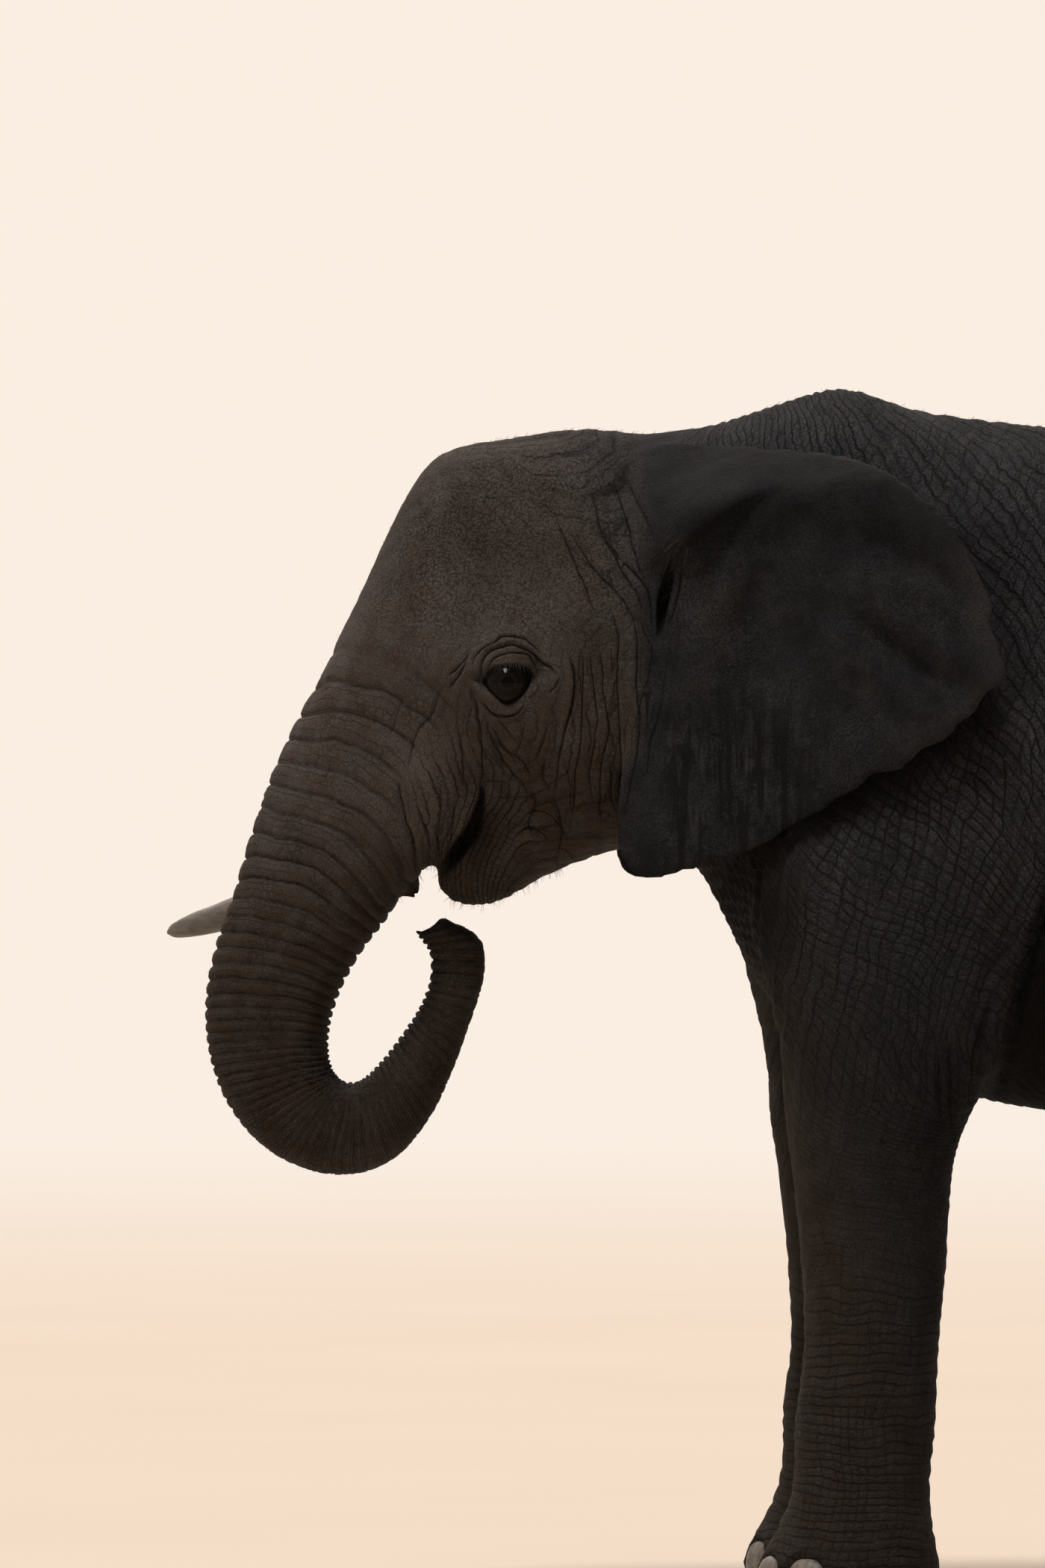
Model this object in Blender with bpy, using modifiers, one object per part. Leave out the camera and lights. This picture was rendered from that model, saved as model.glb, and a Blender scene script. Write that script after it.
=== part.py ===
"""A young female African elephant, standing, with its trunk curled to its mouth. Metres, +Z up, facing -X.

The body is lofted whole from ribs and fused, then parted with thin cuts. The ribs are written with X = 0 at
the withers and Z = 0 at the floor, and the last step moves the origin to the middle of the floor under it.
"""

import math

import bmesh
import bpy
import numpy as np
from mathutils import Matrix

GAP = 0.0004  # between touching pieces
GRAIN = 0.016  # size of the cells that fuse the body
BODY_TRIANGLES = 2850
EAR_TRIANGLES = 640
EAR_AROUND, EAR_RINGS = 96, 24
JUNCTION_REACH = 0.035  # over how far the legs and the trunk of the body flow into each other

# ---- Ribs -------------------------------------------------------------------------------------------------
# front or top X, Z; rear or bottom X, Z; half-width; squareness of the section; place of the widest line
HEAD_RIBS = [
    (-0.300, 2.058, -0.280, 1.345, 0.240, 2.30, -0.10),
    (-0.392, 2.080, -0.392, 1.338, 0.268, 2.30, -0.20),
    (-0.483, 2.086, -0.483, 1.343, 0.276, 2.45, -0.28),
    (-0.602, 2.070, -0.546, 1.366, 0.276, 2.45, -0.30),
    (-0.692, 2.054, -0.595, 1.398, 0.268, 2.45, -0.28),
    (-0.736, 2.034, -0.616, 1.419, 0.262, 2.45, -0.25),
    (-0.778, 1.980, -0.637, 1.437, 0.256, 2.45, -0.25),
    (-0.819, 1.902, -0.652, 1.447, 0.246, 2.45, -0.20),
    (-0.860, 1.811, -0.664, 1.440, 0.236, 2.45, -0.15),
    (-0.907, 1.714, -0.682, 1.414, 0.224, 2.45, -0.15),
    (-0.937, 1.647, -0.702, 1.380, 0.214, 2.45, -0.15),
    (-0.979, 1.573, -0.728, 1.338, 0.198, 2.45, -0.20),
    (-1.025, 1.475, -0.765, 1.288, 0.174, 2.30, -0.25),
    (-1.060, 1.377, -0.812, 1.226, 0.150, 2.20, -0.25),
    (-1.093, 1.266, -0.850, 1.178, 0.128, 2.20, -0.20),
    (-1.121, 1.189, -0.880, 1.134, 0.117, 2.20, -0.20),
    (-1.141, 1.111, -0.908, 1.076, 0.110, 2.20, -0.20),
    (-1.147, 1.048, -0.922, 1.030, 0.106, 2.20, -0.20),
    (-1.139, 0.969, -0.927, 0.983, 0.103, 2.20, -0.20),
    (-1.108, 0.884, -0.919, 0.944, 0.099, 2.20, -0.20),
    (-1.044, 0.806, -0.906, 0.925, 0.094, 2.20, -0.20),
    (-0.959, 0.762, -0.892, 0.918, 0.089, 2.20, -0.20),
    (-0.880, 0.755, -0.875, 0.919, 0.086, 2.20, -0.20),
    (-0.809, 0.782, -0.855, 0.934, 0.081, 2.20, -0.20),
    (-0.746, 0.852, -0.823, 0.969, 0.073, 2.20, -0.20),
    (-0.704, 0.937, -0.788, 1.016, 0.066, 2.20, -0.20),
    (-0.671, 1.027, -0.760, 1.060, 0.060, 2.20, -0.20),
    (-0.647, 1.102, -0.744, 1.107, 0.055, 2.20, -0.20),
    (-0.643, 1.148, -0.742, 1.150, 0.052, 2.20, -0.20),
    (-0.650, 1.178, -0.749, 1.164, 0.049, 2.20, -0.20),
    (-0.684, 1.202, -0.766, 1.180, 0.046, 2.20, -0.20),
    (-0.716, 1.212, -0.786, 1.186, 0.040, 2.20, -0.20),
]
PALATE_RIBS = [
    (-0.640, 1.560, -0.560, 1.400, 0.150, 2.2, 0.0),
    (-0.700, 1.480, -0.610, 1.350, 0.125, 2.2, 0.0),
    (-0.740, 1.400, -0.650, 1.310, 0.090, 2.2, 0.0),
    (-0.765, 1.330, -0.690, 1.300, 0.050, 2.2, 0.0),
]
JAW_RIBS = [
    (-0.400, 1.520, -0.400, 1.345, 0.200, 2.2, 0.0),
    (-0.500, 1.480, -0.479, 1.315, 0.175, 2.2, 0.0),
    (-0.600, 1.430, -0.546, 1.287, 0.135, 2.2, 0.1),
    (-0.655, 1.385, -0.595, 1.257, 0.100, 2.2, 0.1),
    (-0.695, 1.345, -0.637, 1.239, 0.078, 2.2, 0.1),
    (-0.722, 1.308, -0.680, 1.238, 0.060, 2.2, 0.0),
    (-0.733, 1.278, -0.712, 1.247, 0.035, 2.2, 0.0),
]
TORSO_RIBS = [
    (-0.520, 2.020, -0.500, 1.420, 0.200, 2.1, 0.0),
    (-0.400, 2.070, -0.420, 1.345, 0.265, 2.1, 0.0),
    (-0.250, 2.092, -0.280, 1.320, 0.285, 2.0, 0.0),
    (-0.110, 2.138, -0.215, 1.215, 0.315, 2.0, -0.15),
    (-0.010, 2.165, -0.140, 1.070, 0.345, 2.1, -0.25),
    (0.055, 2.144, -0.040, 1.000, 0.360, 2.2, -0.28),
    (0.110, 2.123, 0.050, 0.950, 0.375, 2.2, -0.30),
    (0.200, 2.109, 0.150, 0.915, 0.400, 2.1, -0.25),
    (0.340, 2.093, 0.300, 0.880, 0.425, 2.0, -0.15),
    (0.550, 2.072, 0.580, 0.840, 0.458, 2.1, -0.15),
    (0.800, 2.070, 0.850, 0.820, 0.470, 2.1, -0.15),
    (1.050, 2.095, 1.100, 0.845, 0.458, 2.1, -0.10),
    (1.280, 2.110, 1.320, 0.920, 0.430, 2.1, -0.05),
    (1.480, 2.045, 1.470, 1.020, 0.392, 2.1, -0.05),
    (1.620, 1.920, 1.580, 1.130, 0.325, 2.1, -0.10),
    (1.705, 1.760, 1.660, 1.250, 0.225, 2.1, -0.10),
    (1.742, 1.600, 1.725, 1.400, 0.100, 2.0, 0.0),
]
TAIL_RIBS = [
    (1.600, 1.900, 1.560, 1.760, 0.070, 2.0, 0.0),
    (1.700, 1.850, 1.660, 1.740, 0.055, 2.0, 0.0),
    (1.790, 1.720, 1.730, 1.670, 0.038, 2.0, 0.0),
    (1.832, 1.540, 1.782, 1.530, 0.028, 2.0, 0.0),
    (1.846, 1.300, 1.806, 1.300, 0.021, 2.0, 0.0),
    (1.842, 1.050, 1.810, 1.050, 0.017, 2.0, 0.0),
    (1.832, 0.840, 1.802, 0.840, 0.015, 2.0, 0.0),
    (1.842, 0.750, 1.790, 0.750, 0.020, 2.0, 0.0),
    (1.845, 0.650, 1.790, 0.650, 0.020, 2.0, 0.0),
    (1.838, 0.560, 1.804, 0.560, 0.014, 2.0, 0.0),
    (1.830, 0.500, 1.818, 0.500, 0.006, 2.0, 0.0),
]
# height; front X; rear X; half-width; middle Y
FORELEG = [
    (1.850, 0.020, 0.220, 0.050, 0.230),
    (1.600, -0.060, 0.270, 0.085, 0.262),
    (1.420, -0.130, 0.310, 0.116, 0.266),
    (1.250, -0.180, 0.330, 0.140, 0.264),
    (1.070, -0.145, 0.294, 0.152, 0.262),
    (0.960, -0.122, 0.264, 0.148, 0.258),
    (0.870, -0.120, 0.212, 0.140, 0.254),
    (0.780, -0.108, 0.184, 0.131, 0.250),
    (0.600, -0.090, 0.172, 0.124, 0.245),
    (0.450, -0.083, 0.155, 0.118, 0.240),
    (0.330, -0.098, 0.150, 0.120, 0.240),
    (0.200, -0.104, 0.140, 0.120, 0.240),
    (0.080, -0.155, 0.155, 0.146, 0.240),
    (0.020, -0.166, 0.165, 0.158, 0.240),
    (-0.040, -0.166, 0.165, 0.158, 0.240),
]
HIND_LEG = [
    (1.860, 1.180, 1.480, 0.080, 0.200),
    (1.600, 1.060, 1.600, 0.145, 0.235),
    (1.350, 1.040, 1.675, 0.172, 0.240),
    (1.150, 1.060, 1.660, 0.168, 0.240),
    (1.000, 1.090, 1.600, 0.156, 0.238),
    (0.850, 1.120, 1.530, 0.145, 0.236),
    (0.700, 1.180, 1.490, 0.130, 0.235),
    (0.550, 1.250, 1.500, 0.115, 0.235),
    (0.420, 1.295, 1.535, 0.105, 0.235),
    (0.300, 1.312, 1.535, 0.102, 0.235),
    (0.180, 1.298, 1.530, 0.106, 0.235),
    (0.080, 1.240, 1.540, 0.134, 0.235),
    (0.020, 1.232, 1.556, 0.144, 0.235),
    (-0.040, 1.232, 1.556, 0.144, 0.235),
]
LEG_SQUARENESS = 2.2
# how far back each leg stands of its drawing: at the shoulder or hip, and at the foot
STEPS = {"front_left": (0, 0), "front_right": (-0.02, -0.01), "hind_left": (0, 0), "hind_right": (0, -0.12)}

# tusk: X, Y, Z of its middle, and its radius; only the right one grew
TUSK = [
    (-0.760, 0.130, 1.440, 0.032),
    (-0.900, 0.152, 1.330, 0.032),
    (-1.010, 0.190, 1.262, 0.030),
    (-1.110, 0.225, 1.221, 0.0265),
    (-1.180, 0.246, 1.200, 0.020),
    (-1.212, 0.254, 1.191, 0.012),
    (-1.222, 0.256, 1.188, 0.003),
]
TUSK_SHEATH = [
    (-0.680, 0.120, 1.560, 0.060),
    (-0.760, 0.135, 1.470, 0.070),
    (-0.840, 0.145, 1.385, 0.062),
    (-0.890, 0.150, 1.337, 0.046),
]
EMPTY_SHEATH = [
    (-0.680, -0.120, 1.560, 0.055),
    (-0.750, -0.132, 1.475, 0.060),
    (-0.810, -0.130, 1.400, 0.048),
    (-0.850, -0.115, 1.350, 0.028),
]

# ear: outline seen from the side, about EAR_MIDDLE
EAR_OUTLINE = [
    (-0.396, 2.045), (-0.259, 2.057), (-0.122, 2.047), (-0.012, 2.031), (0.083, 1.989), (0.152, 1.928),
    (0.207, 1.846), (0.241, 1.743), (0.262, 1.633), (0.215, 1.572), (0.152, 1.517), (0.056, 1.462),
    (-0.006, 1.428), (-0.095, 1.373), (-0.191, 1.318), (-0.287, 1.290), (-0.362, 1.277), (-0.408, 1.311),
    (-0.416, 1.380), (-0.406, 1.475), (-0.390, 1.558), (-0.380, 1.654), (-0.380, 1.777), (-0.390, 1.900),
]  # fmt: skip
EAR_MIDDLE = (-0.095, 1.690)
EAR_THICKNESS = 0.020

EYE = (-0.605, 0.246, 1.629)
EYE_RADIUS = 0.046
ORBIT_BULGE = 0.012

# dents and swellings of the head's sides: X, Z, reach, how far they stand out
HEAD_RELIEF = [
    (-0.580, 1.850, 0.120, -0.030),  # temple
    (-0.490, 1.725, 0.070, 0.018),  # cheekbone behind the eye
    (-0.470, 1.520, 0.120, 0.012),  # jaw muscle
    (-0.680, 1.570, 0.070, -0.014),  # hollow under the eye
    (EYE[0], EYE[2], 0.070, ORBIT_BULGE),
]

NAIL_SIZE = (0.022, 0.040, 0.042)  # half its thickness, width and height
NAIL_SUNK = 0.006
NAIL_HEIGHT = 0.052
FORE_NAILS = (-58, -20, 20, 58)  # degrees round the foot from straight ahead
HIND_NAILS = (-45, 0, 45)

# cuts between the parts: two X, Z places and how far they reach to each side
CUTS = [
    # trunk, from its base to its tip
    ((-0.970, 1.672), (-0.668, 1.350), 0.30),
    ((-1.100, 1.405), (-0.785, 1.210), 0.30),
    ((-1.220, 1.030), (-0.600, 0.950), 0.30),
    ((-0.905, 0.700), (-0.905, 0.975), 0.30),
    ((-0.800, 1.120), (-0.590, 1.120), 0.30),
    # lower jaw
    ((-0.762, 1.275), (-0.636, 1.458), 0.35),
    ((-0.646, 1.452), (-0.370, 1.280), 0.35),
    # head and neck
    ((-0.440, 2.140), (-0.400, 1.270), 0.35),
    ((-0.060, 2.220), (-0.290, 1.120), 0.45),
    # tail and its tuft
    ((1.655, 1.950), (1.790, 1.540), 0.10),
    ((1.700, 0.845), (1.950, 0.845), 0.10),
]
FORELEG_PART = [(-0.35, -0.1), (0.38, -0.1), (0.38, 0.85), (0.345, 1.25), (0.20, 1.45), (-0.10, 1.45), (-0.35, 1.15)]
HIND_LEG_PART = [(0.93, -0.1), (1.85, -0.1), (1.85, 1.25), (1.60, 1.58), (1.28, 1.60), (1.08, 1.40), (0.93, 0.80)]
FOOT_TOP = 0.170
ANCHORS = {
    "head": (-0.80, 0.0, 1.95),
    "jaw_lower": (-0.68, 0.0, 1.238),
    "neck": (-0.25, 0.0, 2.09),
    "torso": (0.80, 0.0, 2.07),
    "trunk_upper": (-1.00, 0.0, 1.52),
    "trunk_middle": (-1.12, 0.0, 1.20),
    "trunk_bend_front": (-1.10, 0.0, 0.90),
    "trunk_bend_rear": (-0.80, 0.0, 0.79),
    "trunk_lower": (-0.65, 0.0, 1.08),
    "trunk_tip": (-0.70, 0.0, 1.205),
    "leg_front_left": (0.03, -0.36, 0.60),
    "leg_front_right": (0.03, 0.36, 0.60),
    "leg_hind_left": (1.34, -0.36, 0.70),
    "leg_hind_right": (1.28, 0.36, 0.70),
    "foot_front_left": (0.0, -0.24, 0.0),
    "foot_front_right": (0.0, 0.24, 0.0),
    "foot_hind_left": (1.40, -0.235, 0.0),
    "foot_hind_right": (1.28, 0.235, 0.0),
    "tail": (1.83, 0.0, 1.30),
    "tail_tuft": (1.82, 0.0, 0.60),
}

COLOURS = {
    "hide": ((0.105, 0.092, 0.084), 0.75),
    "ivory": ((0.42, 0.36, 0.28), 0.40),
    "eye": ((0.020, 0.012, 0.008), 0.08),
    "nail": ((0.20, 0.17, 0.14), 0.55),
    "tuft": ((0.020, 0.018, 0.016), 0.60),
}


# ---- Curves and lofts -------------------------------------------------------------------------------------
def flow(rows, at, closed=False):
    """Smooth curves through the rows' columns: their values where `at` runs from 0 to 1 along the rows."""
    rows = np.array(rows, float)
    if closed:
        rows = np.concatenate([rows[-2:], rows, rows[:3]])
    steps = np.sqrt(np.linalg.norm(np.diff(rows[:, : min(4, rows.shape[1])], axis=0), axis=1)) + 1e-6
    knots = np.concatenate([[0], np.cumsum(steps)])
    slopes = np.diff(rows, axis=0) / steps[:, None]
    middle = (slopes[:-1] * steps[1:, None] + slopes[1:] * steps[:-1, None]) / (steps[:-1] + steps[1:])[:, None]
    tangents = np.concatenate([slopes[:1], middle, slopes[-1:]])
    first, last = (knots[2], knots[-3]) if closed else (knots[0], knots[-1])
    place = first + np.clip(np.asarray(at, float), 0, 1) * (last - first)
    i = np.clip(np.searchsorted(knots, place, side="right") - 1, 0, len(steps) - 1)
    h = steps[i][:, None]
    u = ((place - knots[i]) / steps[i])[:, None]
    return (
        (1 + 2 * u) * (1 - u) ** 2 * rows[i]
        + u * (1 - u) ** 2 * h * tangents[i]
        + u**2 * (3 - 2 * u) * rows[i + 1]
        + u**2 * (u - 1) * h * tangents[i + 1]
    )


def points_of(mesh):
    points = np.empty(len(mesh.vertices) * 3, np.float32)
    mesh.vertices.foreach_get("co", points)
    return points.reshape(-1, 3).astype(float)


def place_points(mesh, points):
    mesh.vertices.foreach_set("co", points.astype(np.float32).ravel())
    mesh.update()


def face_outwards(mesh, bm=None):
    """Writes the bmesh, or the mesh's own faces, to the mesh with every face pointing out."""
    if bm is None:
        bm = bmesh.new()
        bm.from_mesh(mesh)
    bmesh.ops.recalc_face_normals(bm, faces=bm.faces)
    bm.to_mesh(mesh)
    bm.free()


def add_object(name, bm):
    mesh = bpy.data.meshes.new(name)
    face_outwards(mesh, bm)
    obj = bpy.data.objects.new(name, mesh)
    bpy.context.scene.collection.objects.link(obj)
    return obj


def tube(name, along, around):
    """A closed tube of unit size, and for each of its points where it is along the tube and round it."""
    bm = bmesh.new()
    bmesh.ops.create_cone(bm, cap_ends=True, segments=around, radius1=1, radius2=1, depth=1)
    lengthwise = [e for e in bm.edges if abs(e.verts[0].co.z - e.verts[1].co.z) > 0.5]
    bmesh.ops.subdivide_edges(bm, edges=lengthwise, cuts=along - 1, use_grid_fill=True)
    obj = add_object(name, bm)
    points = points_of(obj.data)
    return obj, points[:, 2] + 0.5, np.arctan2(points[:, 1], points[:, 0])


def rounded(value, squareness):
    return np.sign(value) * np.abs(value) ** (2 / squareness)


def loft(name, ribs, along=64, around=40, middle_y=0.0):
    """A closed body through ribs that stand in the plane of symmetry, or beside it at middle_y."""
    obj, t, angle = tube(name, along, around)
    top_x, top_z, low_x, low_z, width, square, widest = flow(ribs, t).T
    side = rounded(np.cos(angle), square)
    height = rounded(np.sin(angle), square)
    height = widest + height * np.where(height > 0, 1 - widest, 1 + widest)
    x = (top_x + low_x) / 2 + (top_x - low_x) / 2 * height
    z = (top_z + low_z) / 2 + (top_z - low_z) / 2 * height
    place_points(obj.data, np.stack([x, middle_y + width * side, z], 1))
    face_outwards(obj.data)
    return obj


def pipe(name, rows, along=24, around=20):
    """A round tube along X, Y, Z places with a radius each."""
    obj, t, angle = tube(name, along, around)
    centre = flow(rows, t)
    ahead = flow(rows, np.minimum(t + 0.01, 1))[:, :3] - flow(rows, np.maximum(t - 0.01, 0))[:, :3]
    ahead /= np.linalg.norm(ahead, axis=1)[:, None]
    across = np.cross(ahead, (0, 1, 0))
    across /= np.linalg.norm(across, axis=1)[:, None]
    up = np.cross(across, ahead)
    ring = across * np.cos(angle)[:, None] + up * np.sin(angle)[:, None]
    place_points(obj.data, centre[:, :3] + ring * centre[:, 3:4])
    face_outwards(obj.data)
    return obj


def leg(name, rows, side, steps):
    """A leg whose rows give its height, front, rear, half-width and middle."""
    ribs = []
    for height, front, rear, width, middle in rows:
        swing = steps[0] + (steps[1] - steps[0]) * min(1.0, max(0.0, 1.3 - height))
        ribs.append((front + swing, height, rear + swing, height, width, LEG_SQUARENESS, middle))
    obj, t, angle = tube(name, 48, 32)
    front, height, rear, _, width, square, middle = flow(ribs, t).T
    x = (front + rear) / 2 - (rear - front) / 2 * rounded(np.sin(angle), square)
    y = side * (middle + width * rounded(np.cos(angle), square))
    place_points(obj.data, np.stack([x, y, height], 1))
    face_outwards(obj.data)
    return obj


def smooth_step(value, low, high):
    s = np.clip((value - low) / (high - low), 0, 1)
    return s * s * (3 - 2 * s)


def ear_depth(x, z):
    """How far the ear's blade lies from the plane of symmetry."""
    height = np.abs(np.maximum(z, 1.62) - 1.70) / 0.375
    root = 0.285 * (1 - np.minimum(height, 1) ** 2.3) ** 0.45 - 0.025
    front = 1 - smooth_step(x, -0.40, 0.15)
    blade = 0.300 + 0.33 * (x + 0.30).clip(0)
    blade -= (4.0 + 4.0 * front) * (z - 1.89).clip(0) ** 2  # the top folds in over the neck
    shelf = smooth_step(z - (1.862 + 0.40 * (x + 0.34)), -0.03, 0.05)
    blade += 0.030 * shelf * (1 - smooth_step(x, -0.25, 0.02))
    blade -= 0.022 * np.exp(-(((x + 0.16) / 0.14) ** 2) - ((z - 1.66) / 0.16) ** 2)  # cupped in the middle
    blade += 0.012 * np.sin(13 * (x + 0.5 * z)) * smooth_step(x, -0.05, 0.2)
    return root + (blade - root) * smooth_step(x, -0.42, -0.27)


def ear(name, side):
    bm = bmesh.new()
    bmesh.ops.create_uvsphere(bm, u_segments=EAR_AROUND, v_segments=2 * EAR_RINGS, radius=1)
    obj = add_object(name, bm)
    points = points_of(obj.data)
    turn = (np.arctan2(points[:, 1], points[:, 0]) / math.tau) % 1
    tilt = np.arccos(np.clip(points[:, 2], -1, 1)) / (math.pi / 2)
    reach = 1 - np.abs(tilt - 1)
    rim = flow(EAR_OUTLINE, turn, closed=True)
    x = EAR_MIDDLE[0] + reach * (rim[:, 0] - EAR_MIDDLE[0])
    z = EAR_MIDDLE[1] + reach * (rim[:, 1] - EAR_MIDDLE[1])
    half = EAR_THICKNESS / 2 * np.sqrt(1 - reach**6) * (1 - 0.35 * reach**2)
    y = ear_depth(x, z) + np.sign(1 - tilt) * half
    place_points(obj.data, np.stack([x, side * y, z], 1))
    face_outwards(obj.data)
    return thin(obj, EAR_TRIANGLES)


# ---- Joining and parting ----------------------------------------------------------------------------------
def apply_modifiers(obj):
    graph = bpy.context.evaluated_depsgraph_get()
    mesh = bpy.data.meshes.new_from_object(obj.evaluated_get(graph))
    obj.modifiers.clear()
    obj.data = mesh
    return obj


def boolean(obj, cutter, operation):
    modifier = obj.modifiers.new(operation.title(), "BOOLEAN")
    modifier.operation = operation
    modifier.object = cutter
    modifier.solver = "EXACT"
    return apply_modifiers(obj)


def discard(obj):
    bpy.data.objects.remove(obj)


def join(name, pieces):
    bm = bmesh.new()
    for piece in pieces:
        bm.from_mesh(piece.data)
        discard(piece)
    return add_object(name, bm)


def soften(obj, grain, reach, where=1.0):
    """Evens out the surface over the reach, as each point moves towards the middle of its neighbours."""
    mesh = obj.data
    points = points_of(mesh)
    ends = np.empty(len(mesh.edges) * 2, np.int32)
    mesh.edges.foreach_get("vertices", ends)
    a, b = ends.reshape(-1, 2).T
    here, there = np.concatenate([a, b]), np.concatenate([b, a])
    count = np.bincount(here, minlength=len(points))
    for _ in range(round((2 * reach / grain) ** 2)):
        middle = np.stack([np.bincount(here, points[there, i], len(points)) / count for i in range(3)], 1)
        points += 0.5 * np.reshape(where, (-1, 1)) * (middle - points)
    place_points(mesh, points)


def thin(obj, triangles):
    modifier = obj.modifiers.new("Thin", "DECIMATE")
    modifier.ratio = triangles / sum(len(face.vertices) - 2 for face in obj.data.polygons)
    modifier.use_collapse_triangulate = True
    return apply_modifiers(obj)


def fuse(obj, grain, triangles):
    remesh = obj.modifiers.new("Fuse", "REMESH")
    remesh.mode = "VOXEL"
    remesh.voxel_size = grain
    apply_modifiers(obj)
    soften(obj, grain, grain)
    x, y, z = points_of(obj.data).T
    on_body = smooth_step(x, -0.32, -0.15) * smooth_step(z, 0.35, 0.7) * (1 - smooth_step(x, 1.66, 1.74))
    soften(obj, grain, JUNCTION_REACH, on_body)
    relief(obj)
    return thin(obj, triangles)


def relief(obj):
    points = points_of(obj.data)
    x, y, z = points.T
    flank = smooth_step(np.abs(y), 0.10, 0.20)
    move = sum(height * np.exp(-((x - px) ** 2 + (z - pz) ** 2) / reach**2) for px, pz, reach, height in HEAD_RELIEF)
    points[:, 1] += np.sign(y) * flank * move
    place_points(obj.data, points)


def trim_below_floor(obj):
    bm = bmesh.new()
    bm.from_mesh(obj.data)
    everything = bm.verts[:] + bm.edges[:] + bm.faces[:]
    bmesh.ops.bisect_plane(bm, geom=everything, plane_co=(0, 0, 0), plane_no=(0, 0, 1), clear_inner=True)
    bmesh.ops.holes_fill(bm, edges=[e for e in bm.edges if e.is_boundary])
    bmesh.ops.triangulate(bm, faces=[f for f in bm.faces if len(f.verts) > 3])
    bm.to_mesh(obj.data)
    bm.free()


def prism(outline, y_from, y_to, grow=0.0):
    """A cutter: a convex outline of X, Z places, made wider by grow, that runs across from y_from to y_to."""
    bm = bmesh.new()
    bmesh.ops.create_circle(bm, cap_ends=True, segments=len(outline), radius=1)
    middle = np.mean(outline, axis=0)
    for vertex, (x, z) in zip(bm.verts, outline):
        away = np.array((x, z)) - middle
        away *= 1 + grow / np.linalg.norm(away)
        vertex.co = (middle[0] + away[0], y_from - grow, middle[1] + away[1])
    made = bmesh.ops.extrude_face_region(bm, geom=bm.faces[:])
    for item in made["geom"]:
        if isinstance(item, bmesh.types.BMVert):
            item.co.y = y_to + grow
    return add_object("cutter", bm)


def slab(start, end, y_from, y_to):
    """A cutter one gap thick that stands between two X, Z places and runs across from y_from to y_to."""
    start, end = np.array(start), np.array(end)
    along = end - start
    across = np.array((-along[1], along[0])) / np.linalg.norm(along) * GAP / 2
    return prism([start - across, end - across, end + across, start + across], y_from, y_to)


def copy_of(obj, name, grow=0.0):
    """A copy whose surface stands out by grow."""
    bm = bmesh.new()
    bm.from_mesh(obj.data)
    bm.normal_update()
    for vertex in bm.verts:
        vertex.co += vertex.normal * vertex.calc_shell_factor() * grow
    return add_object(name, bm)


def cut(obj, cutter, operation="DIFFERENCE"):
    boolean(obj, cutter, operation)
    discard(cutter)
    return obj


def loose_parts(obj):
    """The separate bodies of an object, each as an object of its own, the largest first."""
    bm = bmesh.new()
    bm.from_mesh(obj.data)
    left = set(bm.verts)
    bodies = []
    while left:
        found, edge = set(), [left.pop()]
        while edge:
            vertex = edge.pop()
            found.add(vertex.index)
            for link in vertex.link_edges:
                other = link.other_vert(vertex)
                if other in left:
                    left.discard(other)
                    edge.append(other)
        bodies.append(found)
    bm.free()
    parts = []
    for found in sorted(bodies, key=len, reverse=True):
        bm = bmesh.new()
        bm.from_mesh(obj.data)
        bmesh.ops.delete(bm, geom=[v for v in bm.verts if v.index not in found], context="VERTS")
        parts.append(add_object("body", bm))
    discard(obj)
    return parts


def largest(obj, name):
    first, *rest = loose_parts(obj)
    for extra in rest:
        discard(extra)
    first.name = name
    return first


def name_nearest(parts, anchors):
    """Gives each part the name of the anchor that lies nearest to its surface."""
    for name, anchor in anchors.items():
        away = [np.linalg.norm(points_of(part.data) - anchor, axis=1).min() for part in parts]
        parts[int(np.argmin(away))].name = name


# ---- Pieces -----------------------------------------------------------------------------------------------
def whole_body():
    pieces = [
        loft("torso", TORSO_RIBS, 56, 48),
        loft("head", HEAD_RIBS, 120, 40),
        loft("jaw", JAW_RIBS, 24, 28),
        loft("palate", PALATE_RIBS, 12, 20),
        loft("tail", TAIL_RIBS, 40, 16),
        pipe("sheath_right", TUSK_SHEATH),
        pipe("sheath_left", EMPTY_SHEATH),
    ]
    for name, steps in STEPS.items():
        pieces.append(leg(name, FORELEG if name.startswith("front") else HIND_LEG, side_of(name), steps))
    body = fuse(join("body", pieces), GRAIN, BODY_TRIANGLES)
    trim_below_floor(body)
    return body


def side_of(name):
    return -1 if name.endswith("left") else 1


def eyeball(name):
    bm = bmesh.new()
    bmesh.ops.create_uvsphere(bm, u_segments=14, v_segments=8, radius=EYE_RADIUS)
    place = (EYE[0], side_of(name) * EYE[1], EYE[2])
    bmesh.ops.rotate(bm, cent=(0, 0, 0), matrix=Matrix.Rotation(math.pi / 2, 3, "X"), verts=bm.verts)
    bmesh.ops.translate(bm, vec=place, verts=bm.verts)
    return add_object(name, bm)


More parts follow.
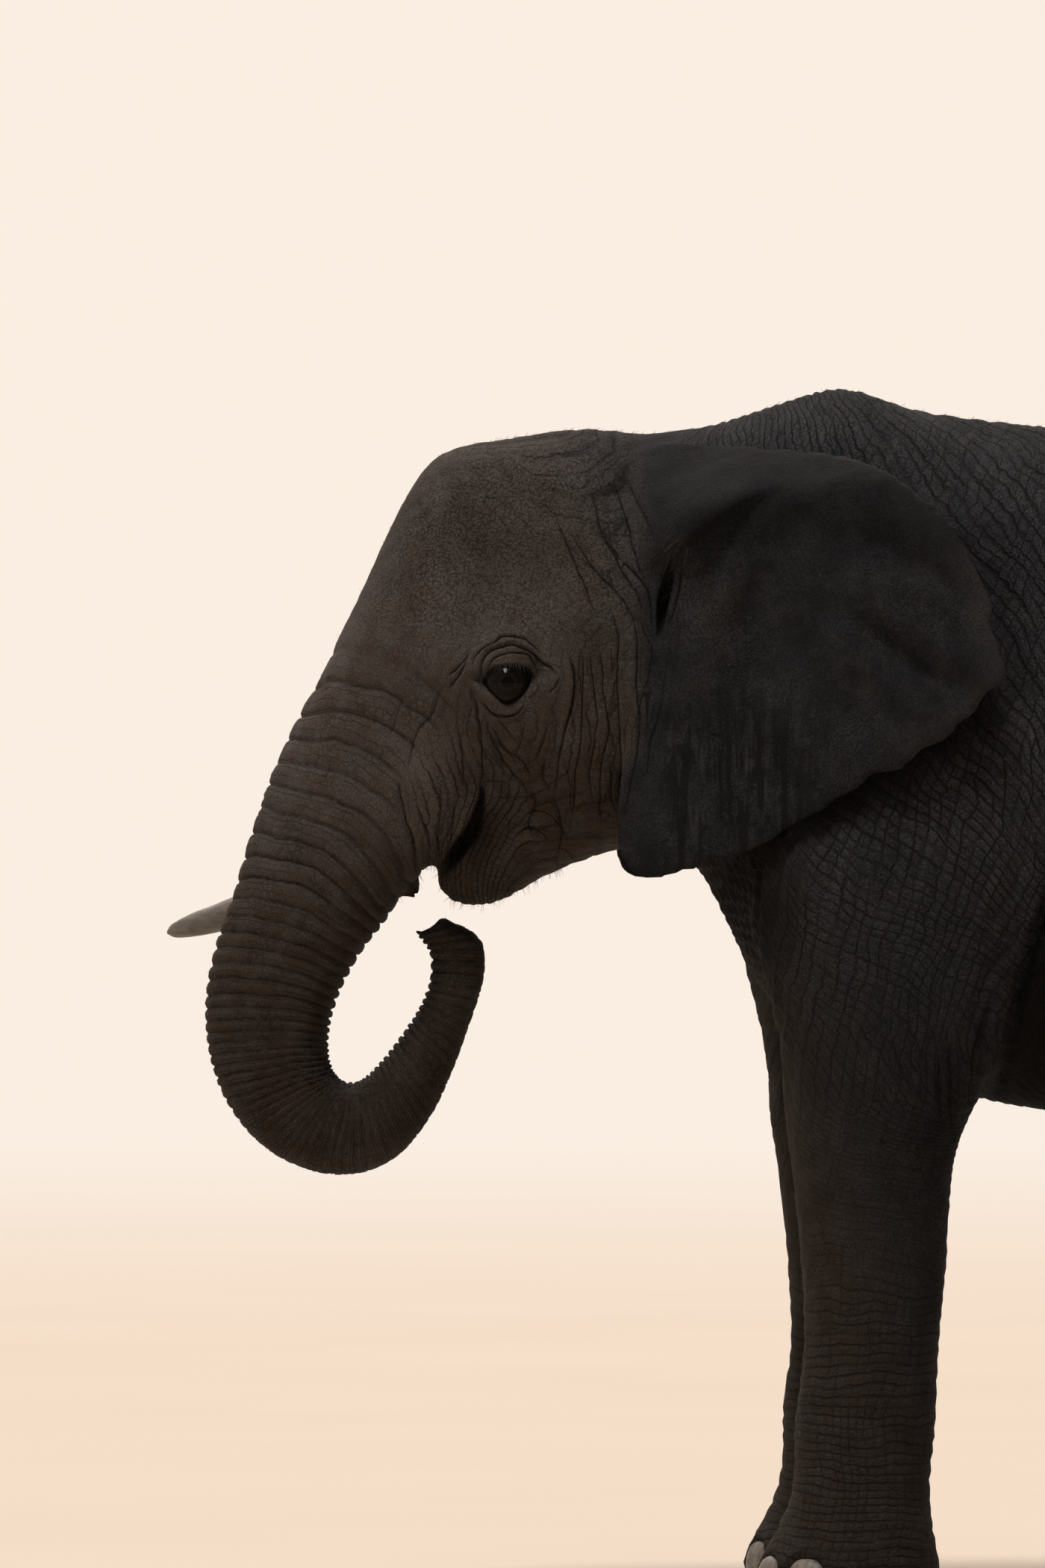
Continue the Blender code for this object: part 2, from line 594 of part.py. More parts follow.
def nail(name, rows, leg_name, degrees, foot):
    """A nail on the foot's rim, degrees round from straight ahead."""
    height, front, rear, width, middle = next(row for row in rows if row[0] < 0.1)
    step = STEPS[leg_name][1]
    angle = math.radians(degrees)
    reach_x = (rear - front) / 2 - NAIL_SUNK
    reach_y = width - NAIL_SUNK
    bm = bmesh.new()
    bmesh.ops.create_uvsphere(bm, u_segments=10, v_segments=6, radius=1)
    bmesh.ops.scale(bm, vec=NAIL_SIZE, verts=bm.verts)
    bmesh.ops.rotate(bm, cent=(0, 0, 0), matrix=Matrix.Rotation(-angle, 3, "Z"), verts=bm.verts)
    x = (front + rear) / 2 + step - reach_x * math.cos(angle)
    y = side_of(leg_name) * middle + reach_y * math.sin(angle)
    bmesh.ops.translate(bm, vec=(x, y, NAIL_HEIGHT), verts=bm.verts)
    return largest(cut(add_object("nail", bm), copy_of(foot, "cutter", GAP)), name)


def nails(body):
    for leg_name in STEPS:
        front = leg_name.startswith("front")
        for number, degrees in enumerate(FORE_NAILS if front else HIND_NAILS, 1):
            nail(f"nail_{leg_name}_{number}", FORELEG if front else HIND_LEG, leg_name, degrees, body)


def part_body(body):
    """Parts the body into its named nodes."""
    parts = []
    for leg_name in STEPS:
        outline = FORELEG_PART if leg_name.startswith("front") else HIND_LEG_PART
        inner, outer = (0.05, 0.70) if side_of(leg_name) > 0 else (-0.70, -0.05)
        limb = cut(copy_of(body, "limb"), prism(outline, inner, outer), "INTERSECT")
        cut(body, prism(outline, inner, outer, GAP))
        cut(limb, slab((-0.4, FOOT_TOP), (2.0, FOOT_TOP), -0.7, 0.7))
        parts += loose_parts(limb)
    for start, end, half_width in CUTS:
        cut(body, slab(start, end, -half_width, half_width))
    parts += loose_parts(body)
    name_nearest(parts, ANCHORS)


def settle():
    """Moves the origin to the middle of the floor under the animal."""
    objects = list(bpy.data.objects)
    points = np.concatenate([points_of(obj.data) for obj in objects])
    low, high = points.min(0), points.max(0)
    origin = np.array([(low[0] + high[0]) / 2, (low[1] + high[1]) / 2, 0])
    for obj in objects:
        place_points(obj.data, points_of(obj.data) - origin)


def finish_of(name):
    for start, finish in (("eye", "eye"), ("tusk", "ivory"), ("nail", "nail"), ("tail_tuft", "tuft")):
        if name.startswith(start):
            return finish
    return "hide"


def paint(obj):
    colour, roughness = COLOURS[finish_of(obj.name)]
    material = bpy.data.materials.new(obj.name)
    material.use_nodes = True
    shader = material.node_tree.nodes["Principled BSDF"]
    shader.inputs["Base Color"].default_value = (*colour, 1)
    shader.inputs["Roughness"].default_value = roughness
    obj.data.materials.clear()
    obj.data.materials.append(material)


def file_under(collection_name):
    collection = bpy.data.collections.new(collection_name)
    bpy.context.scene.collection.children.link(collection)
    for obj in list(bpy.context.scene.collection.objects):
        collection.objects.link(obj)
        bpy.context.scene.collection.objects.unlink(obj)


def main():
    for obj in list(bpy.data.objects):
        bpy.data.objects.remove(obj)
    body = whole_body()
    for name, side in (("ear_left", -1), ("ear_right", 1)):
        largest(cut(ear(name, side), copy_of(body, "cutter", GAP)), name)
    nails(body)
    for piece in (eyeball("eye_left"), eyeball("eye_right"), pipe("tusk_right", TUSK, 12, 10)):
        cut(body, copy_of(piece, "cutter", GAP))
    part_body(body)
    settle()
    for obj in bpy.data.objects:
        paint(obj)
    file_under("elephant")


main()
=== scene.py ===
"""The finish of the elephant: one wrinkled skin over all its flesh, with lids, folds and hairs, and its eyes,
tusk and nails.

Metres. Shapes are drawn facing -X with X = 0 at the withers and Z = 0 on the floor, and move to the frame's
place when they're finished.
"""

import itertools
import math

import bmesh
import bpy
import numpy as np
from mathutils import Matrix, Vector
from mathutils.bvhtree import BVHTree
from mathutils.geometry import barycentric_transform
from mathutils.kdtree import KDTree


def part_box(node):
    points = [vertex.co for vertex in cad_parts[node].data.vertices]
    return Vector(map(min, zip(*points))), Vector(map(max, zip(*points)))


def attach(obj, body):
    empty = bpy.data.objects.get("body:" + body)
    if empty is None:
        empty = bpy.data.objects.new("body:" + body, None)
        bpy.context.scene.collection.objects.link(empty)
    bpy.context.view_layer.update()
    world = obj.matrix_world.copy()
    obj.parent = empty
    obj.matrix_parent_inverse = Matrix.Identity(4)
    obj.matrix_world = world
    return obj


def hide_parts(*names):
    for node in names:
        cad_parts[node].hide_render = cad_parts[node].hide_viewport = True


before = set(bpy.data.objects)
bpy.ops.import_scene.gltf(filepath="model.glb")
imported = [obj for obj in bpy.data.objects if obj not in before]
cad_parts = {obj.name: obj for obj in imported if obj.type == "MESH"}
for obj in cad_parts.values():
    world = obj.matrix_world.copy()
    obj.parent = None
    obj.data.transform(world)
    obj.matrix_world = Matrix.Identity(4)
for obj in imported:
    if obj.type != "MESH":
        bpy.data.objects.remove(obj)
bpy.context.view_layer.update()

# ---- Sizes ------------------------------------------------------------------------------------------------
BODY_GRAIN = 0.010  # size of the cells that fuse the body
SKIN_GRAIN = 0.0065  # and of those that fuse the ears to it
JUNCTION_REACH = 0.035  # over which legs, head and tail blend into the body
SKIN_TRIANGLES = 196000

# front or top X, Z; rear or bottom X, Z; half-width; squareness of the section; place of the widest line
HEAD_RIBS = [
    (-0.300, 2.058, -0.280, 1.345, 0.240, 2.30, -0.10),
    (-0.392, 2.080, -0.392, 1.338, 0.268, 2.30, -0.20),
    (-0.483, 2.086, -0.483, 1.343, 0.276, 2.45, -0.28),
    (-0.602, 2.070, -0.546, 1.366, 0.276, 2.45, -0.30),
    (-0.692, 2.054, -0.595, 1.398, 0.268, 2.45, -0.28),
    (-0.736, 2.034, -0.616, 1.419, 0.262, 2.45, -0.25),
    (-0.778, 1.980, -0.637, 1.437, 0.256, 2.45, -0.25),
    (-0.819, 1.902, -0.652, 1.447, 0.246, 2.45, -0.20),
    (-0.860, 1.811, -0.664, 1.440, 0.236, 2.45, -0.15),
    (-0.907, 1.714, -0.682, 1.414, 0.224, 2.45, -0.15),
    (-0.937, 1.647, -0.702, 1.380, 0.214, 2.45, -0.15),
    (-0.979, 1.573, -0.728, 1.338, 0.198, 2.45, -0.20),
    (-1.025, 1.475, -0.765, 1.288, 0.174, 2.30, -0.25),
    (-1.060, 1.377, -0.812, 1.226, 0.150, 2.20, -0.25),
    (-1.093, 1.266, -0.850, 1.178, 0.128, 2.20, -0.20),
    (-1.121, 1.189, -0.880, 1.134, 0.117, 2.20, -0.20),
    (-1.141, 1.111, -0.908, 1.076, 0.110, 2.20, -0.20),
    (-1.147, 1.048, -0.922, 1.030, 0.106, 2.20, -0.20),
    (-1.139, 0.969, -0.927, 0.983, 0.103, 2.20, -0.20),
    (-1.108, 0.884, -0.919, 0.944, 0.099, 2.20, -0.20),
    (-1.044, 0.806, -0.906, 0.925, 0.094, 2.20, -0.20),
    (-0.959, 0.762, -0.892, 0.918, 0.089, 2.20, -0.20),
    (-0.880, 0.755, -0.875, 0.919, 0.086, 2.20, -0.20),
    (-0.809, 0.782, -0.855, 0.934, 0.081, 2.20, -0.20),
    (-0.746, 0.852, -0.823, 0.969, 0.073, 2.20, -0.20),
    (-0.704, 0.937, -0.788, 1.016, 0.066, 2.20, -0.20),
    (-0.671, 1.027, -0.760, 1.060, 0.060, 2.20, -0.20),
    (-0.647, 1.102, -0.744, 1.107, 0.055, 2.20, -0.20),
    (-0.643, 1.148, -0.742, 1.150, 0.052, 2.20, -0.20),
    (-0.650, 1.178, -0.749, 1.164, 0.049, 2.20, -0.20),
    (-0.684, 1.202, -0.766, 1.180, 0.046, 2.20, -0.20),
    (-0.716, 1.212, -0.786, 1.186, 0.040, 2.20, -0.20),
]
PALATE_RIBS = [
    (-0.640, 1.560, -0.560, 1.400, 0.150, 2.2, 0.0),
    (-0.700, 1.480, -0.610, 1.350, 0.125, 2.2, 0.0),
    (-0.740, 1.400, -0.650, 1.310, 0.090, 2.2, 0.0),
    (-0.765, 1.330, -0.690, 1.300, 0.050, 2.2, 0.0),
]
JAW_RIBS = [
    (-0.400, 1.520, -0.400, 1.345, 0.200, 2.2, 0.0),
    (-0.500, 1.480, -0.479, 1.315, 0.175, 2.2, 0.0),
    (-0.600, 1.430, -0.546, 1.287, 0.135, 2.2, 0.1),
    (-0.655, 1.385, -0.595, 1.257, 0.100, 2.2, 0.1),
    (-0.695, 1.345, -0.637, 1.239, 0.078, 2.2, 0.1),
    (-0.722, 1.308, -0.680, 1.238, 0.060, 2.2, 0.0),
    (-0.733, 1.278, -0.712, 1.247, 0.035, 2.2, 0.0),
]
TORSO_RIBS = [
    (-0.520, 2.020, -0.500, 1.420, 0.200, 2.1, 0.0),
    (-0.400, 2.070, -0.420, 1.345, 0.265, 2.1, 0.0),
    (-0.250, 2.092, -0.280, 1.320, 0.285, 2.0, 0.0),
    (-0.110, 2.138, -0.215, 1.215, 0.315, 2.0, -0.15),
    (-0.010, 2.165, -0.140, 1.070, 0.345, 2.1, -0.25),
    (0.055, 2.144, -0.040, 1.000, 0.360, 2.2, -0.28),
    (0.110, 2.123, 0.050, 0.950, 0.375, 2.2, -0.30),
    (0.200, 2.109, 0.150, 0.915, 0.400, 2.1, -0.25),
    (0.340, 2.093, 0.300, 0.880, 0.425, 2.0, -0.15),
    (0.550, 2.072, 0.580, 0.840, 0.458, 2.1, -0.15),
    (0.800, 2.070, 0.850, 0.820, 0.470, 2.1, -0.15),
    (1.050, 2.095, 1.100, 0.845, 0.458, 2.1, -0.10),
    (1.280, 2.110, 1.320, 0.920, 0.430, 2.1, -0.05),
    (1.480, 2.045, 1.470, 1.020, 0.392, 2.1, -0.05),
    (1.620, 1.920, 1.580, 1.130, 0.325, 2.1, -0.10),
    (1.705, 1.760, 1.660, 1.250, 0.225, 2.1, -0.10),
    (1.742, 1.600, 1.725, 1.400, 0.100, 2.0, 0.0),
]
TAIL_RIBS = [
    (1.600, 1.900, 1.560, 1.760, 0.070, 2.0, 0.0),
    (1.700, 1.850, 1.660, 1.740, 0.055, 2.0, 0.0),
    (1.790, 1.720, 1.730, 1.670, 0.038, 2.0, 0.0),
    (1.832, 1.540, 1.782, 1.530, 0.028, 2.0, 0.0),
    (1.846, 1.300, 1.806, 1.300, 0.021, 2.0, 0.0),
    (1.842, 1.050, 1.810, 1.050, 0.017, 2.0, 0.0),
    (1.832, 0.840, 1.802, 0.840, 0.015, 2.0, 0.0),
    (1.828, 0.700, 1.806, 0.700, 0.010, 2.0, 0.0),
    (1.822, 0.600, 1.812, 0.600, 0.005, 2.0, 0.0),
]
# height; front X; rear X; half-width; middle Y
FORELEG = [
    (1.850, 0.020, 0.220, 0.050, 0.230),
    (1.600, -0.060, 0.270, 0.085, 0.262),
    (1.420, -0.130, 0.310, 0.116, 0.266),
    (1.250, -0.180, 0.330, 0.140, 0.264),
    (1.070, -0.145, 0.294, 0.152, 0.262),
    (0.960, -0.122, 0.264, 0.148, 0.258),
    (0.870, -0.120, 0.212, 0.140, 0.254),
    (0.780, -0.108, 0.184, 0.131, 0.250),
    (0.600, -0.090, 0.172, 0.124, 0.245),
    (0.450, -0.083, 0.155, 0.118, 0.240),
    (0.330, -0.098, 0.150, 0.120, 0.240),
    (0.200, -0.104, 0.140, 0.120, 0.240),
    (0.080, -0.155, 0.155, 0.146, 0.240),
    (0.020, -0.166, 0.165, 0.158, 0.240),
    (-0.040, -0.166, 0.165, 0.158, 0.240),
]
HIND_LEG = [
    (1.860, 1.180, 1.480, 0.080, 0.200),
    (1.600, 1.060, 1.600, 0.145, 0.235),
    (1.350, 1.040, 1.675, 0.172, 0.240),
    (1.150, 1.060, 1.660, 0.168, 0.240),
    (1.000, 1.090, 1.600, 0.156, 0.238),
    (0.850, 1.120, 1.530, 0.145, 0.236),
    (0.700, 1.180, 1.490, 0.130, 0.235),
    (0.550, 1.250, 1.500, 0.115, 0.235),
    (0.420, 1.295, 1.535, 0.105, 0.235),
    (0.300, 1.312, 1.535, 0.102, 0.235),
    (0.180, 1.298, 1.530, 0.106, 0.235),
    (0.080, 1.240, 1.540, 0.134, 0.235),
    (0.020, 1.232, 1.556, 0.144, 0.235),
    (-0.040, 1.232, 1.556, 0.144, 0.235),
]
LEG_SQUARENESS = 2.2
# how far back each leg stands of its drawing: at the shoulder or hip, and at the foot
STEPS = {
    "front_left": (0, 0),
    "front_right": (-0.02, -0.01),
    "hind_left": (0, 0),
    "hind_right": (0, -0.12),
}
STEP_FROM = 1.3  # height at which a leg starts to swing towards its foot's place

# X, Y, Z of the middle, and the radius; only the right tusk grew
TUSK = [
    (-0.760, 0.130, 1.440, 0.032),
    (-0.900, 0.152, 1.330, 0.032),
    (-1.010, 0.190, 1.262, 0.030),
    (-1.110, 0.225, 1.221, 0.0265),
    (-1.180, 0.246, 1.200, 0.020),
    (-1.212, 0.254, 1.191, 0.012),
    (-1.222, 0.256, 1.188, 0.003),
]
TUSK_SHEATH = [
    (-0.680, 0.120, 1.560, 0.060),
    (-0.760, 0.135, 1.470, 0.070),
    (-0.840, 0.145, 1.385, 0.062),
    (-0.890, 0.150, 1.337, 0.046),
]
EMPTY_SHEATH = [
    (-0.680, -0.120, 1.560, 0.055),
    (-0.750, -0.132, 1.475, 0.060),
    (-0.810, -0.130, 1.400, 0.048),
    (-0.850, -0.115, 1.350, 0.028),
]

# ear: outline seen from the side, about EAR_MIDDLE
EAR_OUTLINE = [
    (-0.396, 2.045), (-0.259, 2.057), (-0.122, 2.047), (-0.012, 2.031), (0.083, 1.989), (0.152, 1.928),
    (0.207, 1.846), (0.241, 1.743), (0.262, 1.633), (0.215, 1.572), (0.152, 1.517), (0.056, 1.462),
    (-0.006, 1.428), (-0.095, 1.373), (-0.191, 1.318), (-0.283, 1.296), (-0.352, 1.280), (-0.402, 1.300),
    (-0.418, 1.370), (-0.406, 1.475), (-0.390, 1.558), (-0.380, 1.654), (-0.380, 1.777), (-0.390, 1.900),
]  # fmt: skip
EAR_MIDDLE = (-0.095, 1.690)
EAR_THICKNESS = 0.024
EAR_CUP, EAR_CUP_DEPTH = (-0.16, 1.66, 0.14, 0.16), 0.022  # hollow of its middle: X, Z, reach along X and Z
EAR_FOLD_HEIGHT = 1.89  # above which its top folds in over the neck
# lower edge of the shelf at its top: X, Z, how far the hollow reaches down from it, and its depth
SHELF = [
    (-0.362, 1.834, 0.020, 0.003),
    (-0.330, 1.848, 0.040, 0.008),
    (-0.290, 1.874, 0.055, 0.010),
    (-0.247, 1.907, 0.060, 0.009),
    (-0.183, 1.948, 0.060, 0.005),
    (-0.118, 1.966, 0.060, 0.002),
]
SHELF_LEDGE = 0.056  # height over which its lower edge stands out
# soft waves of its blade: middle X, Z, lie in degrees, half-length, half-width, how far they stand out
EAR_WAVES = [
    (-0.215, 1.790, 74, 0.085, 0.036, 0.021),
    (-0.140, 1.800, 60, 0.090, 0.030, -0.013),
    (0.074, 1.684, -36, 0.085, 0.018, -0.023),
    (0.115, 1.716, -34, 0.080, 0.017, 0.016),
    (0.034, 1.642, -40, 0.095, 0.020, 0.022),
    (0.040, 1.800, -30, 0.080, 0.026, 0.010),
    (0.080, 1.850, -34, 0.080, 0.022, -0.012),
    (0.150, 1.800, -36, 0.060, 0.018, -0.013),
    (0.185, 1.830, -44, 0.050, 0.016, 0.009),
    (0.150, 1.630, -26, 0.065, 0.014, -0.010),
    (0.176, 1.664, -26, 0.060, 0.014, 0.010),
    (-0.090, 1.610, -50, 0.100, 0.026, -0.013),
    (-0.047, 1.567, -52, 0.090, 0.022, 0.018),
    (0.010, 1.540, -56, 0.080, 0.020, -0.010),
    (-0.150, 1.520, -70, 0.080, 0.024, 0.009),
    (-0.110, 1.895, 34, 0.120, 0.026, -0.012),
    (-0.060, 1.960, 14, 0.090, 0.024, 0.009),
]
# bumps and nicks of its rim: X, Z, half-width, how far they stand out
EAR_NICKS = [
    (0.247, 1.766, 0.022, 0.012),
    (0.236, 1.722, 0.012, -0.020),
    (0.262, 1.650, 0.028, 0.006),
    (0.243, 1.598, 0.010, -0.010),
    (0.125, 1.500, 0.009, -0.010),
    (0.044, 1.456, 0.011, -0.009),
    (-0.030, 1.414, 0.010, -0.007),
    (-0.118, 1.360, 0.012, -0.006),
]
EAR_CLEARANCE = 0.022  # of the middle of its blade over the neck and shoulder
# where the depth of the body's side behind the ears is looked up, and that depth, once the body is fused
FLANK_X, FLANK_Z = np.linspace(-0.46, 0.34, 81), np.linspace(1.24, 2.20, 97)
body_side = np.zeros((len(FLANK_X), len(FLANK_Z)))

EYE = (-0.605, 0.246, 1.629)  # on its surface
EYEBALL_RADIUS = 0.0445
EYEBALL_DEPTH = 0.2410  # of its middle from the plane of symmetry
ORBIT_BULGE = 0.012
CORNEA_REACH, CORNEA_RISE = 0.024, 0.06  # how wide the cornea is, and its rise as a share of the eye's radius
FLANK_WIDTH = 0.38  # past which the back and belly are laid flat to wrinkle them
NAIL_SIZE = (0.022, 0.040, 0.042)  # half its thickness, width and height
NAIL_SUNK = 0.006
NAIL_HEIGHT = 0.052
NAIL_FLOOR = 0.006  # height of its lowest edge
FORE_NAILS = (-58, -20, 20, 58)  # degrees round the foot from straight ahead
HIND_NAILS = (-45, 0, 45)
HAIR_PATCH = 0.003  # size of each hair's place in the skin's unwrap
UNWRAP_TRIANGLES = 9000
IVORY_LENGTH = 0.35  # from the tusk's root, where it's most stained, to its clean end

# the camera: where it stands, beside the animal and how far off
VIEW_X, VIEW_AWAY, VIEW_HEIGHT = -0.579, 20.0, 1.187
VIEW_SPAN = 2.8  # height of what it takes in
VIEW_RISE = 2 / 21  # how far the middle of that lies above it, as a share of the height
SENSOR_HEIGHT = 36  # of the camera, in millimetres

# dents and swellings of the head's sides: X, Z, reach, how far they stand out
HEAD_RELIEF = [
    (-0.580, 1.850, 0.120, -0.030),  # temple
    (-0.490, 1.725, 0.070, 0.018),  # cheekbone behind the eye
    (-0.470, 1.520, 0.120, 0.012),  # jaw muscle
    (-0.680, 1.570, 0.070, -0.014),  # hollow under the eye
    (EYE[0], EYE[2], 0.070, ORBIT_BULGE),
]


# ---- Curves and lofts -------------------------------------------------------------------------------------
def steps_between(rows):
    """How long the curve's step from each row to the next is, by the places in their first columns."""
    return np.sqrt(np.linalg.norm(np.diff(rows[:, :4], axis=0), axis=1)) + 1e-6


def flow(rows, at, closed=False):
    """Smooth curves through the rows' columns: their values where `at` runs from 0 to 1 along the rows."""
    rows = np.array(rows, float)
    if closed:
        rows = np.concatenate([rows[-2:], rows, rows[:3]])
    steps = steps_between(rows)
    knots = np.concatenate([[0], np.cumsum(steps)])
    slopes = np.diff(rows, axis=0) / steps[:, None]
    middle = slopes[:-1] * steps[1:, None] + slopes[1:] * steps[:-1, None]
    middle /= (steps[:-1] + steps[1:])[:, None]
    tangents = np.concatenate([slopes[:1], middle, slopes[-1:]])
    first, last = (knots[2], knots[-3]) if closed else (knots[0], knots[-1])
    place = first + np.clip(np.asarray(at, float), 0, 1) * (last - first)
    i = np.clip(np.searchsorted(knots, place, side="right") - 1, 0, len(steps) - 1)
    h = steps[i][:, None]
    u = ((place - knots[i]) / steps[i])[:, None]
    return (
        (1 + 2 * u) * (1 - u) ** 2 * rows[i]
        + u * (1 - u) ** 2 * h * tangents[i]
        + u**2 * (3 - 2 * u) * rows[i + 1]
        + u**2 * (u - 1) * h * tangents[i + 1]
    )


def smooth_step(value, low, high):
    """0 below low to 1 above high."""
    s = np.clip((value - low) / (high - low), 0, 1)
    return s * s * (3 - 2 * s)


def ridge(value, width):
    """1 where the value is 0, falling softly to 0 on both sides of it."""
    return np.exp(-((value / width) ** 2))


def mound(x, z, middle_x, middle_z, reach_x, reach_z):
    """1 at the middle, falling softly to 0 past the reach along X and along Z."""
    return np.exp(-(((x - middle_x) / reach_x) ** 2) - ((z - middle_z) / reach_z) ** 2)


def outline_radius(x, z, outline):
    """How far a closed outline about 0 lies from it, in the direction of each X and Z."""
    turn = np.arctan2(outline[:, 1], outline[:, 0])
    order = turn.argsort()
    return np.interp(np.arctan2(z, x), turn[order], np.linalg.norm(outline, axis=1)[order], period=math.tau)


def points_of(mesh):
    points = np.empty(len(mesh.vertices) * 3, np.float32)
    mesh.vertices.foreach_get("co", points)
    return points.reshape(-1, 3).astype(float)


def normals_of(mesh):
    normals = np.empty(len(mesh.vertices) * 3, np.float32)
    mesh.vertex_normals.foreach_get("vector", normals)
    return normals.reshape(-1, 3).astype(float)


def place_points(mesh, points):
    mesh.vertices.foreach_set("co", points.astype(np.float32).ravel())
    mesh.update()


def face_outwards(mesh, bm=None):
    """Points every face of the mesh out, after writing the bmesh to it if there is one."""
    if bm is None:
        bm = bmesh.new()
        bm.from_mesh(mesh)
    bmesh.ops.recalc_face_normals(bm, faces=bm.faces)
    bm.to_mesh(mesh)
    bm.free()


def add_object(name, bm):
    mesh = bpy.data.meshes.new(name)
    face_outwards(mesh, bm)
    obj = bpy.data.objects.new(name, mesh)
    bpy.context.scene.collection.objects.link(obj)
    return obj


def tube(name, along, around):
    """A closed tube of unit size, and for each of its points where it is along the tube and round it."""
    bm = bmesh.new()
    bmesh.ops.create_cone(bm, cap_ends=True, segments=around, radius1=1, radius2=1, depth=1)
    lengthwise = [e for e in bm.edges if abs(e.verts[0].co.z - e.verts[1].co.z) > 0.5]
    bmesh.ops.subdivide_edges(bm, edges=lengthwise, cuts=along - 1, use_grid_fill=True)
    obj = add_object(name, bm)
    points = points_of(obj.data)
    return obj, points[:, 2] + 0.5, np.arctan2(points[:, 1], points[:, 0])


def rounded(value, squareness):
    return np.sign(value) * np.abs(value) ** (2 / squareness)


def loft(name, ribs, along, around):
    """A closed body through ribs that stand in the plane of symmetry."""
    obj, t, angle = tube(name, along, around)
    top_x, top_z, low_x, low_z, width, square, widest = flow(ribs, t).T
    side = rounded(np.cos(angle), square)
    height = rounded(np.sin(angle), square)
    height = widest + height * np.where(height > 0, 1 - widest, 1 + widest)
    x = (top_x + low_x) / 2 + (top_x - low_x) / 2 * height
    z = (top_z + low_z) / 2 + (top_z - low_z) / 2 * height
    place_points(obj.data, np.stack([x, width * side, z], 1))
    face_outwards(obj.data)
    return obj


def pipe(name, rows, along=24, around=20):
    """A round tube along X, Y, Z places with a radius each."""
    obj, t, angle = tube(name, along, around)
    centre = flow(rows, t)
    ahead = flow(rows, np.minimum(t + 0.01, 1))[:, :3] - flow(rows, np.maximum(t - 0.01, 0))[:, :3]
    ahead /= np.linalg.norm(ahead, axis=1)[:, None]
    across = np.cross(ahead, (0, 1, 0))
    across /= np.linalg.norm(across, axis=1)[:, None]
    up = np.cross(across, ahead)
    ring = across * np.cos(angle)[:, None] + up * np.sin(angle)[:, None]
    place_points(obj.data, centre[:, :3] + ring * centre[:, 3:4])
    face_outwards(obj.data)
    return obj


def leg(name, rows, side, steps):
    """A leg whose rows give its height, front, rear, half-width and middle."""
    ribs = []
    for height, front, rear, width, middle in rows:
        swing = steps[0] + (steps[1] - steps[0]) * min(1.0, max(0.0, STEP_FROM - height))
        ribs.append((front + swing, height, rear + swing, height, width, LEG_SQUARENESS, middle))
    obj, t, angle = tube(name, 96, 48)
    front, height, rear, _, width, square, middle = flow(ribs, t).T
    x = (front + rear) / 2 - (rear - front) / 2 * rounded(np.sin(angle), square)
    y = side * (middle + width * rounded(np.cos(angle), square))
    place_points(obj.data, np.stack([x, y, height], 1))
    face_outwards(obj.data)
    return obj


def flank_depths(body):
    """How far the body's side lies from the plane of symmetry, for steps of X and Z behind the ears."""
    tree = BVHTree.FromPolygons([v.co for v in body.data.vertices], [f.vertices for f in body.data.polygons])
    depths = np.zeros((len(FLANK_X), len(FLANK_Z)))
    for i, x in enumerate(FLANK_X):
        for k, z in enumerate(FLANK_Z):
            hit = tree.ray_cast((x, -1.0, z), (0, 1, 0), 1.0)[0]
            depths[i, k] = -hit.y if hit else 0.0
    return depths


def flank_depth(x, z):
    i = np.clip((x - FLANK_X[0]) / (FLANK_X[1] - FLANK_X[0]), 0, len(FLANK_X) - 1.001)
    k = np.clip((z - FLANK_Z[0]) / (FLANK_Z[1] - FLANK_Z[0]), 0, len(FLANK_Z) - 1.001)
    i0, k0 = i.astype(int), k.astype(int)
    u, v = i - i0, k - k0
    near_row = body_side[i0, k0] * (1 - v) + body_side[i0, k0 + 1] * v
    far_row = body_side[i0 + 1, k0] * (1 - v) + body_side[i0 + 1, k0 + 1] * v
    return near_row * (1 - u) + far_row * u


def ear_blade(x, z):
    """How far the ear's blade lies from the plane of symmetry away from its root, without its shelf."""
    front = 1 - smooth_step(x, -0.40, 0.15)
    blade = 0.300 + 0.33 * (x + 0.30).clip(0)
    blade -= (4.0 + 4.0 * front) * (z - EAR_FOLD_HEIGHT).clip(0) ** 2
    blade -= EAR_CUP_DEPTH * mound(x, z, *EAR_CUP)
    blade += 0.012 * np.sin(13 * (x + 0.5 * z)) * smooth_step(x, -0.05, 0.2)
    over_body = flank_depth(x, z) + EAR_CLEARANCE
    blade = np.maximum(blade, over_body) + 0.006 * np.exp(-np.abs(blade - over_body) / 0.012)
    for px, pz, lie, length, width, rise in EAR_WAVES:
        c, s = math.cos(math.radians(lie)), math.sin(math.radians(lie))
        along, across = (x - px) * c + (z - pz) * s, (z - pz) * c - (x - px) * s
        blade += rise * mound(along, across, 0, 0, length, width)
    low = 1 - smooth_step(z, 1.38, 1.56)
    ripples = 0.0045 * np.sin(62 * x + 8 * z) * low
    return blade + ripples * smooth_step(x, -0.36, -0.28) * (1 - smooth_step(x, -0.12, 0.02))


